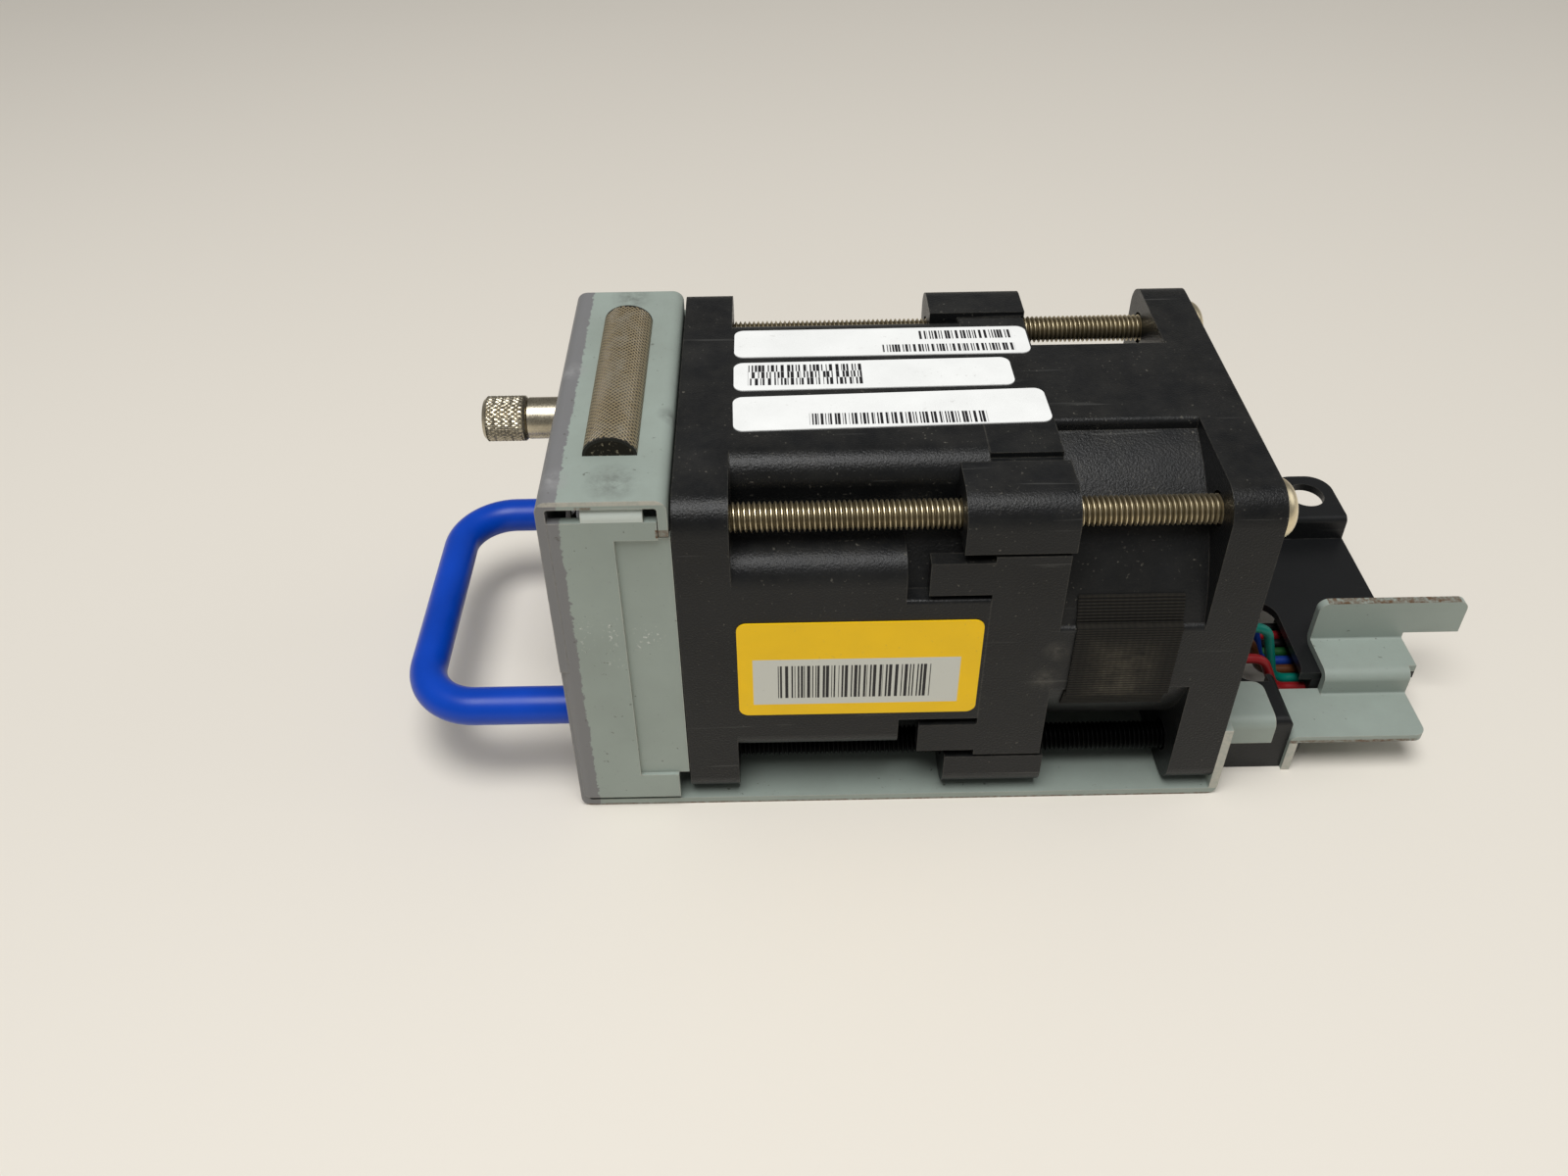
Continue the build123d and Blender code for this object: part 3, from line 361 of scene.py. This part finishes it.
def fanPlastic(name, marks):
    look = fanLook
    made, tree, shader, place = newMaterial(name, specular=look["specular"])
    soft = useGroup(tree, grain, Vector=place, Fine=look["fine"], Patch=look["patch"])
    rub = multiply(tree, useGroup(tree, scratches, Vector=place)[0], look["rubShare"])
    colour = mixColour(tree, soft["Tone"], look["black"], look["sheen"])
    colour = mixColour(tree, rub, colour, look["rub"])
    dirt = dustAt(tree, place, marks["film"], marks["specks"])
    # painted highlight: the edge mask lays the pale dust colour along the moulded edges, together with the
    # dust
    wornAndLitEdge = edgeWearAndHighlightAt(tree, place, look["edgeRadius"], look["edgeShare"])
    colour = mixColour(tree, mathNode(tree, "MAXIMUM", dirt, wornAndLitEdge), colour, look["dust"])
    for middle, size in marks["scuffs"]:
        scuff = multiply(tree, blotchAt(tree, place, middle, size), look["scuffShare"])
        colour = mixColour(tree, scuff, colour, look["dust"])
    setColour(tree, shader, colour)
    satin = ramp(tree, soft["Tone"], 0.0, 1.0, *look["roughness"])
    dusty = multiply(tree, dirt, look["dustRoughness"])
    setRoughness(tree, shader, mathNode(tree, "ADD", satin, dusty, True))
    setBump(tree, shader, soft["Height"], *look["bump"])
    return made


housing = fanPlastic("fan housing", housingMarks)
bladePlastic = fanPlastic("fan blades", bladeMarks)
for end in ("front", "rear"):
    coat(end + "_frame", housing)
    coat(end + "_impeller", bladePlastic)

# plain finishes: colour, roughness, strength of the texture
plainLooks = {
    "grip": (srgb(0, 66, 182), 0.34, 0.10), "magnet": (srgb(52, 52, 54), 0.7, 0.2),
    "boardGreen": (srgb(24, 88, 50), 0.35, 0.2), "plugBlack": (srgb(22, 22, 23), 0.5, 0.2)}
plainGrain = {"fine": 4000.0, "patch": 140.0, "spread": 0.05, "depth": 0.06, "dark": 0.82, "specular": 0.28}


def plainFinish(name, colour, roughness, texture):
    look = plainGrain
    made, tree, shader, place = newMaterial(name, specular=look["specular"])
    tone = setGrain(tree, shader, place, {
        "fine": look["fine"], "patch": look["patch"], "bump": (texture, look["depth"]),
        "roughness": (roughness - look["spread"], roughness + look["spread"])})
    setColour(tree, shader, mixColour(tree, tone, darker(colour, look["dark"]), colour))
    return made


finish = {name: plainFinish(name, *look) for name, look in plainLooks.items()}
coat("grip_bar", finish["grip"])
coat("plug_housing", finish["plugBlack"])
for end in ("front", "rear"):
    coat(end + "_magnet", finish["magnet"])
    coat(end + "_board", finish["boardGreen"])

# insulation of the leads
leadLooks = {
    "red": srgb(138, 24, 28), "black": srgb(20, 20, 21), "teal": srgb(0, 112, 98),
    "blue": srgb(22, 54, 132), "brown": srgb(88, 50, 26), "green": srgb(28, 78, 38)}
leadFinish = {"roughness": 0.38, "texture": 0.08}
for name, colour in leadLooks.items():
    coat("wire_" + name, plainFinish("lead " + name, colour, **leadFinish))

# metals: colour, roughness
metalLooks = {
    "nickel": (srgb(190, 181, 160), 0.3), "steel": (srgb(188, 188, 188), 0.32),
    "laminated": (srgb(104, 104, 108), 0.5), "copper": (srgb(176, 96, 52), 0.35),
    "contact": (srgb(214, 178, 96), 0.28)}
metalGrain = {
    "fine": 5200.0, "patch": 420.0, "smoother": 0.08, "rougher": 0.1, "dark": 0.6, "bump": (0.12, 0.04)}


def metalFinish(name, colour, roughness):
    look = metalGrain
    made, tree, shader, place = newMaterial(name, metallic=1.0)
    soft = useGroup(tree, grain, Vector=place, Fine=look["fine"], Patch=look["patch"])
    setColour(tree, shader, mixColour(tree, soft["Tone"], darker(colour, look["dark"]), colour))
    setRoughness(tree, shader, ramp(tree, soft["Height"], 0.3, 0.7, roughness - look["smoother"],
                                    roughness + look["rougher"]))
    setBump(tree, shader, soft["Height"], *look["bump"])
    return made


for name, look in metalLooks.items():
    finish[name] = metalFinish(name, *look)
for node in ("thumb_ferrule", "thumb_ring", "grip_screws"):
    coat(node, finish["nickel"])
for end in ("front", "rear"):
    for piece in ("yoke", "shaft", "clip", "bearings"):
        coat(end + "_" + piece, finish["steel"])
    coat(end + "_core", finish["laminated"])
    coat(end + "_coils", finish["copper"])
coat("plug_contacts", finish["contact"])
print("paint, plastic and metal done")


# the phase of Blender's bands is this times scale times distance
bandRate = 20


# straight threads of a cloth or mesh, pitch in millimetres
def threadBands(tree, vector, direction, pitch, **more):
    settings = {"wave_type": "BANDS", "bands_direction": direction}
    return addNode(tree, "ShaderNodeTexWave", settings, Vector=vector, Distortion=0.5, Detail=1.0,
                   Scale=math.tau / (pitch * mm) / bandRate, **more).outputs["Fac"]


# gasket sock: fine diagonal wire cloth, polished pale along the crown and frayed at its cut ends
gasketLook = {
    "wire": srgb(164, 148, 116), "shadow": srgb(44, 37, 26), "worn": srgb(168, 163, 150),
    "cut": srgb(40, 37, 31), "pitch": 0.36, "slant": 42.0, "crown": 1.1, "wornShare": 0.65, "fray": 0.5,
    "spare": 1.0, "roughness": 0.4, "metallic": 0.45, "bump": (0.9, 0.14)}
sockLow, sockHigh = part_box("gasket_mesh")
meshCoat, tree, shader, place = newMaterial("wire mesh", gasketLook["roughness"], gasketLook["metallic"])
knit = []
for turn in (-1, 1):
    turned = addNode(tree, "ShaderNodeMapping", Vector=place,
                     Rotation=(0.0, 0.0, turn * math.radians(gasketLook["slant"])))
    knit.append(threadBands(tree, turned.outputs[0], "X", gasketLook["pitch"], Detail_Scale=3.0))
weave = mathNode(tree, "MAXIMUM", knit[0], knit[1])
cloth = mixColour(tree, ramp(tree, weave, low=0.35, high=0.95), gasketLook["shadow"], gasketLook["wire"])
crown = ramp(tree, separate(tree, place)[2], sockHigh.z - gasketLook["crown"] * mm, sockHigh.z)
patches = ramp(tree, noise(tree, place, scale=500.0, detail=5.0, roughness=0.7), low=0.4, high=0.75)
polished = multiply(tree, multiply(tree, crown, patches), gasketLook["wornShare"])
cloth = mixColour(tree, polished, cloth, gasketLook["worn"])
spare = Vector((gasketLook["spare"], 0.0, gasketLook["spare"]))
inside = boxAt(tree, place, sockLow / mm - spare, sockHigh / mm + spare, gasketLook["fray"])
strands = ramp(tree, noise(tree, place, scale=2600.0, detail=3.0), 0.3, 0.7, 0.05, 1.0)
frayed = mathNode(tree, "GREATER_THAN", inside, strands)
setColour(tree, shader, mixColour(tree, frayed, gasketLook["cut"], cloth))
setBump(tree, shader, weave, *gasketLook["bump"])
coat("gasket_mesh", meshCoat)

# foam core, with ends of cut wire in it
foamLook = {
    "foam": srgb(38, 36, 30), "wire": srgb(150, 141, 118), "roughness": 0.95, "specular": 0.1,
    "bump": (0.9, 0.1)}
foamCoat, tree, shader, place = newMaterial("foam", foamLook["roughness"], specular=foamLook["specular"])
ends = ramp(tree, noise(tree, place, scale=2600.0, detail=3.0, roughness=0.65), low=0.57, high=0.64)
setColour(tree, shader, mixColour(tree, ends, foamLook["foam"], foamLook["wire"]))
setBump(tree, shader, ends, *foamLook["bump"])
coat("gasket_foam", foamCoat)

# stickers: plain stock with rows of bars, the bars only a pattern; panel and bars are left, bottom, right
# and top as shares of the sticker, and across is the axis that the sticker rises along
white = srgb(238, 239, 237)
stickerLooks = {
    "label_far": {"stock": white, "panel": None, "fine": 3600.0, "across": 1,
                  "bars": [(0.63, 0.56, 0.95, 0.88), (0.50, 0.10, 0.95, 0.38)]},
    "label_mid": {"stock": white, "panel": None, "fine": 3000.0, "across": 1,
                  "bars": [(0.05, 0.16, 0.47, 0.40), (0.05, 0.40, 0.47, 0.62), (0.05, 0.62, 0.47, 0.86)]},
    "label_near": {"stock": white, "panel": None, "fine": 3600.0, "across": 1,
                   "bars": [(0.24, 0.12, 0.80, 0.42)]},
    "label_side": {"stock": srgb(250, 202, 2), "panel": (0.06, 0.12, 0.92, 0.62), "fine": 3200.0,
                   "across": 2, "bars": [(0.16, 0.19, 0.80, 0.55)]}}
printLook = {
    "panel": srgb(206, 207, 198), "ink": srgb(26, 25, 28), "grime": srgb(120, 112, 98), "dark": 0.93,
    "soft": 0.004, "rowShift": 40.0, "inkEdge": (0.496, 0.504), "film": 0.03, "dustSpecks": 0.2,
    "specular": 0.3, "fine": 3000.0, "patch": 200.0, "roughness": (0.38, 0.5), "bump": (0.06, 0.04)}


def stickerMaterial(node, look):
    low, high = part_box(node)
    across = look["across"]
    made, tree, shader, place = newMaterial("sticker " + node, specular=printLook["specular"])
    xyz = separate(tree, place)
    u = ramp(tree, xyz[0], low.x, high.x)
    v = ramp(tree, xyz[across], low[across], high[across])
    plan = addNode(tree, "ShaderNodeCombineXYZ", X=u, Y=v, Z=0.0).outputs[0]

    def area(x0, y0, x1, y1):
        return useGroup(tree, boxMask, Vector=plan, Middle=((x0 + x1) / 2, (y0 + y1) / 2, 0.0),
                        Half=((x1 - x0) / 2, (y1 - y0) / 2, 1.0), Soft=printLook["soft"])[0]

    tone = setGrain(tree, shader, place, printLook)
    colour = mixColour(tree, tone, darker(look["stock"], printLook["dark"]), look["stock"])
    if look["panel"]:
        colour = mixColour(tree, area(*look["panel"]), colour, printLook["panel"])
    for row, block in enumerate(look["bars"]):
        along = multiplyAdd(tree, xyz[0], look["fine"], printLook["rowShift"] * row)
        stripe = addNode(tree, "ShaderNodeTexNoise", {"noise_dimensions": "1D"}, W=along, Scale=1.0,
                         Detail=0.0)
        ink = multiply(tree, area(*block), ramp(tree, stripe.outputs[0], *printLook["inkEdge"]))
        colour = mixColour(tree, ink, colour, printLook["ink"])
    grime = dustAt(tree, place, printLook["film"], printLook["dustSpecks"])
    setColour(tree, shader, mixColour(tree, grime, colour, printLook["grime"]))
    return made


for node, look in stickerLooks.items():
    coat(node, stickerMaterial(node, look))

# woven cloth tape: threads along the fan, lint caught in the middle of it; the lint's margins are left,
# right, bottom and top, in millimetres
tapeLook = {
    "cloth": srgb(12, 12, 12), "lint": srgb(98, 92, 79), "along": 0.34, "across": 0.62, "acrossLow": 0.75,
    "threadShare": 0.16, "lintShare": (0.25, 0.8), "margins": (1, 1, 1, 4), "outside": -30, "soft": 3.0,
    "roughness": 0.75, "specular": 0.15, "bump": (0.7, 0.12)}
tapeLow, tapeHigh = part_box("cloth_tape")
tapeCoat, tree, shader, place = newMaterial("cloth tape", tapeLook["roughness"],
                                            specular=tapeLook["specular"])
rowsUp = threadBands(tree, place, "Z", tapeLook["along"])
rowsAlong = threadBands(tree, place, "X", tapeLook["across"])
weave = multiply(tree, rowsUp, ramp(tree, rowsAlong, 0.0, 1.0, tapeLook["acrossLow"], 1.0))
left, right, bottom, top = tapeLook["margins"]
core = boxAt(tree, place, [tapeLow.x / mm + left, tapeLook["outside"], tapeLow.z / mm + bottom],
             [tapeHigh.x / mm - right, 0, tapeHigh.z / mm - top], tapeLook["soft"])
tufts = ramp(tree, noise(tree, place, scale=420.0, detail=6.0, roughness=0.75), low=0.36, high=0.72)
lint = multiply(tree, multiply(tree, core, tufts), ramp(tree, weave, 0.2, 0.9, *tapeLook["lintShare"]))
cloth = mixColour(tree, multiply(tree, weave, tapeLook["threadShare"]), tapeLook["cloth"], tapeLook["lint"])
setColour(tree, shader, mixColour(tree, lint, cloth, tapeLook["lint"]))
setBump(tree, shader, weave, *tapeLook["bump"])
coat("cloth_tape", tapeCoat)
print("stickers, mesh and tape done")


def finishPiece(name, work, material, body, slot, *nodes, smooth):
    bmesh.ops.recalc_face_normals(work, faces=work.faces)
    mesh = bpy.data.meshes.new(name)
    work.to_mesh(mesh)
    work.free()
    made = bpy.data.objects.new(name, mesh)
    bpy.context.scene.collection.objects.link(made)
    mesh.materials.append(material)
    mesh.shade_smooth()
    mesh.set_sharp_from_angle(angle=math.radians(smooth))
    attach(made, body)
    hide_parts(*nodes)


# share of the pitch and share of the depth at each point of one thread; distances at which points join
threadLook = {
    "profile": [(0.0, 0), (0.12, 0), (0.44, 1), (0.56, 1), (0.88, 0), (1.0, 0)],
    "weld": 1e-6, "turnedWeld": 1e-7}


# one thread profile wound along X, its ends closed
def helix(work, x0, length, radius, depth, pitch, y, z, steps):
    turns = int(length / pitch)
    start = [work.verts.new((x0 + along * pitch, y, z + radius - depth * (1 - rise)))
             for along, rise in threadLook["profile"]]
    edges = [work.edges.new((a, b)) for a, b in zip(start, start[1:])]
    bmesh.ops.spin(work, geom=start + edges, cent=(0, y, z), axis=(1, 0, 0), dvec=(pitch / steps, 0, 0),
                   angle=math.tau * turns, steps=steps * turns, use_merge=False)
    bmesh.ops.remove_doubles(work, verts=work.verts, dist=threadLook["weld"])
    rim = [e for e in work.edges if e.is_boundary]
    bmesh.ops.holes_fill(work, edges=rim, sides=0)


# a profile of places along X and radii, turned round an axis along X
def turnedShape(work, profile, y, z, steps):
    points = [work.verts.new((x, y, z + r)) for x, r in profile]
    edges = [work.edges.new((a, b)) for a, b in zip(points, points[1:])]
    bmesh.ops.spin(work, geom=points + edges, cent=(0, y, z), axis=(1, 0, 0), angle=math.tau, steps=steps,
                   use_merge=True)
    bmesh.ops.remove_doubles(work, verts=work.verts, dist=threadLook["turnedWeld"])


# long screws: full thread, domed head with a cross recess; lengths in millimetres
boltLook = {
    "radius": 1.5, "thread": 0.3, "pitch": 0.5, "threadSteps": 14, "headRadius": 3.0, "headHeight": 2.1,
    "rim": 0.25, "underside": 0.96, "domePower": 0.7, "rings": 32, "around": 112, "cross": 1.75,
    "crossWide": 0.66, "crossDeep": 1.1, "crossPower": 0.5, "smooth": 40}
boltFinish = {
    "crest": srgb(236, 222, 188), "root": srgb(98, 88, 66), "black": srgb(30, 31, 31),
    "blackRoot": srgb(8, 8, 8), "nickelRoughness": 0.34, "blackRoughness": 0.42, "rootRougher": 0.25,
    "dark": 0.7, "fine": 5200.0, "patch": 300.0, "bump": (0.1, 0.04)}


# the colour darkens towards the thread roots, following the distance from the nearest screw axis
def threadFinish(name, node, crest, root, roughness):
    low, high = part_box(node)
    radius = boltLook["radius"] * mm
    made, tree, shader, place = newMaterial(name, metallic=1.0)
    xyz = separate(tree, place)
    side = high.y - boltLook["headRadius"] * mm
    offY = mathNode(tree, "SUBTRACT", mathNode(tree, "ABSOLUTE", xyz[1]), side)
    offZ = mathNode(tree, "SUBTRACT", xyz[2], (low.z + high.z) / 2)
    square = mathNode(tree, "ADD", multiply(tree, offY, offY), multiply(tree, offZ, offZ))
    height = ramp(tree, mathNode(tree, "SQRT", square), radius - boltLook["thread"] * mm, radius)
    soft = useGroup(tree, grain, Vector=place, Fine=boltFinish["fine"], Patch=boltFinish["patch"])
    tint = mixColour(tree, soft["Tone"], darker(crest, boltFinish["dark"]), crest)
    setColour(tree, shader, mixColour(tree, height, root, tint))
    setRoughness(tree, shader, ramp(tree, height, 0.0, 1.0, roughness + boltFinish["rootRougher"], roughness))
    setBump(tree, shader, soft["Height"], *boltFinish["bump"])
    return made


def longBolts(name, node, material, slot, headAtRear):
    low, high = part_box(node)
    headRadius, headHeight, rim, cross, crossWide, crossDeep = (
        boltLook[key] * mm for key in ("headRadius", "headHeight", "rim", "cross", "crossWide", "crossDeep"))
    rings = boltLook["rings"]
    z = (low.z + high.z) / 2
    way = 1 if headAtRear else -1
    seat = (high.x if headAtRear else low.x) - way * headHeight
    tip = low.x if headAtRear else high.x
    work = bmesh.new()
    for y in (low.y + headRadius, high.y - headRadius):
        one = bmesh.new()
        helix(one, min(seat, tip), abs(seat - tip), boltLook["radius"] * mm, boltLook["thread"] * mm,
              boltLook["pitch"] * mm, y, z, boltLook["threadSteps"])
        dome = [(seat, 0.0), (seat, headRadius * boltLook["underside"]), (seat + way * rim, headRadius)]
        for ring in range(1, rings):
            turn = math.radians(90 * ring / rings)
            rise = rim + (headHeight - rim) * math.sin(turn)
            dome.append((seat + way * rise, headRadius * math.cos(turn) ** boltLook["domePower"]))
        dome.append((seat + way * headHeight, 0.0))
        turnedShape(one, dome, y, z, boltLook["around"])
        for v in one.verts:
            across, up = v.co.y - y, v.co.z - z
            reach = math.hypot(across, up) / cross
            onDome = (v.co.x - seat) * way > rim
            if onDome and reach < 1 and min(abs(across), abs(up)) < crossWide / 2:
                v.co.x -= way * crossDeep * (1 - reach) ** boltLook["crossPower"]
        part = bpy.data.meshes.new("bolt part")
        one.to_mesh(part)
        one.free()
        work.from_mesh(part)
        bpy.data.meshes.remove(part)
    finishPiece(name, work, material, "tray", slot, node, smooth=boltLook["smooth"])


boltNickel = threadFinish("screw nickel", "upper_bolts", boltFinish["crest"], boltFinish["root"],
                          boltFinish["nickelRoughness"])
boltBlack = threadFinish("screw black", "lower_bolts", boltFinish["black"], boltFinish["blackRoot"],
                         boltFinish["blackRoughness"])
longBolts("upperBoltsThreaded", "upper_bolts", boltNickel, "nickel", True)
longBolts("lowerBoltsThreaded", "lower_bolts", boltBlack, "black_oxide", False)

# thumb screw: diamond knurl on the knob, thread on the shank; lengths in millimetres
knobLook = {
    "radius": 2.35, "length": 4.5, "edge": 0.35, "knurl": 0.16, "around": 34, "pointsEach": 4, "rows": 26,
    "slant": 0.62, "flat": 0.35, "plainEnd": 1.2, "onRim": 1e-6, "shank": 1.25, "thread": 0.2,
    "pitch": 0.45, "threadSteps": 12, "smooth": 28}
knobLow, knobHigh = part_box("thumb_knob")
knobZ = (knobLow.z + knobHigh.z) / 2
knobR = knobLook["radius"] * mm
edge = knobLook["edge"] * mm
plainEnd = edge * knobLook["plainEnd"]
around, rows, flat = knobLook["around"], knobLook["rows"], knobLook["flat"]
x0, x1 = knobLow.x, knobLow.x + knobLook["length"] * mm
work = bmesh.new()
profile = [(x0, 0.0), (x0, knobR - edge)]
profile += [(x0 + edge + (x1 - x0 - 2 * edge) * i / rows, knobR) for i in range(rows + 1)]
profile += [(x1, knobR - edge), (x1, 0.0)]
turnedShape(work, profile, 0.0, knobZ, around * knobLook["pointsEach"])
for v in work.verts:
    r = math.hypot(v.co.y, v.co.z - knobZ)
    if r > knobR - knobLook["onRim"] and x0 + plainEnd < v.co.x < x1 - plainEnd:
        u = math.atan2(v.co.y, v.co.z - knobZ) / math.tau * around
        w = (v.co.x - x0) / (math.tau * knobR / around) * knobLook["slant"]
        ridge = max(abs((u + w) % 1.0 - 0.5), abs((u - w) % 1.0 - 0.5)) * 2
        cut = knobLook["knurl"] * mm * max(0.0, ridge - flat) / (1 - flat)
        v.co.y *= (r - cut) / r
        v.co.z = knobZ + (v.co.z - knobZ) * (r - cut) / r
helix(work, x1, knobHigh.x - x1, knobLook["shank"] * mm, knobLook["thread"] * mm, knobLook["pitch"] * mm,
      0.0, knobZ, knobLook["threadSteps"])
finishPiece("thumbKnobKnurled", work, finish["nickel"], "thumb_screw", "nickel", "thumb_knob",
            smooth=knobLook["smooth"])
print("screws done")

# studio: pale floor, two soft lamps, camera where the photograph was taken from
stageLook = {
    "floor": srgb(228, 222, 211), "size": 1.6, "roughness": 0.7, "patch": 3.0, "dark": 0.96,
    "world": (1.0, 0.985, 0.96, 1.0), "worldStrength": 0.23, "aim": (0, 0, 0.02),
    "lamps": {"key": {"place": (-0.06, -0.15, 0.56), "size": 0.34, "power": 3.0},
              "side": {"place": (0.55, 0.05, 0.3), "size": 0.4, "power": 0.4}}}
floorWork = bmesh.new()
bmesh.ops.create_grid(floorWork, x_segments=1, y_segments=1, size=stageLook["size"])
floorMesh = bpy.data.meshes.new("floor")
floorWork.to_mesh(floorMesh)
floorWork.free()
floor = bpy.data.objects.new("floor", floorMesh)
bpy.context.scene.collection.objects.link(floor)
floorCoat, tree, shader, place = newMaterial("floor", stageLook["roughness"])
tone = ramp(tree, noise(tree, place, stageLook["patch"]), low=0.3, high=0.7)
floorDark = darker(stageLook["floor"], stageLook["dark"])
setColour(tree, shader, mixColour(tree, tone, floorDark, stageLook["floor"]))
floorMesh.materials.append(floorCoat)

for name, look in stageLook["lamps"].items():
    light = bpy.data.lights.new(name, "AREA")
    light.shape = "DISK"
    light.size = look["size"]
    light.energy = look["power"]
    lamp = bpy.data.objects.new(name, light)
    lamp.location = look["place"]
    towards = Vector(stageLook["aim"]) - Vector(look["place"])
    lamp.rotation_euler = towards.to_track_quat("-Z", "Y").to_euler()
    bpy.context.scene.collection.objects.link(lamp)
world = bpy.data.worlds.new("studio")
world.use_nodes = True
background = world.node_tree.nodes["Background"]
background.inputs["Color"].default_value = stageLook["world"]
background.inputs["Strength"].default_value = stageLook["worldStrength"]
bpy.context.scene.world = world

# fitted to the photograph: place in millimetres, angles in degrees, focal length and centre in its pixels
cameraLook = {
    "place": (-18.75, -108.56, 115.61), "down": 37.69, "turn": -0.16, "roll": -0.94, "focal": 1318.83,
    "centre": (790.38, 467.83), "width": 1600, "height": 1200, "sensor": 36.0, "clip": 0.005}
lens = bpy.data.cameras.new("photo camera")
lens.sensor_width = cameraLook["sensor"]
lens.lens = cameraLook["sensor"] * cameraLook["focal"] / cameraLook["width"]
lens.shift_x = (cameraLook["width"] / 2 - cameraLook["centre"][0]) / cameraLook["width"]
lens.shift_y = (cameraLook["centre"][1] - cameraLook["height"] / 2) / cameraLook["width"]
lens.clip_start = cameraLook["clip"]
camera = bpy.data.objects.new("photo camera", lens)
turns = (("Z", cameraLook["turn"]), ("X", 90 - cameraLook["down"]), ("Z", cameraLook["roll"]))
facing = Matrix.Identity(4)
for axis, degrees in turns:
    facing = facing @ Matrix.Rotation(math.radians(degrees), 4, axis)
camera.matrix_world = Matrix.Translation(Vector(cameraLook["place"]) * mm) @ facing
bpy.context.scene.collection.objects.link(camera)
bpy.context.scene.camera = camera
bpy.context.scene.view_settings.view_transform = "Standard"
print("studio done")
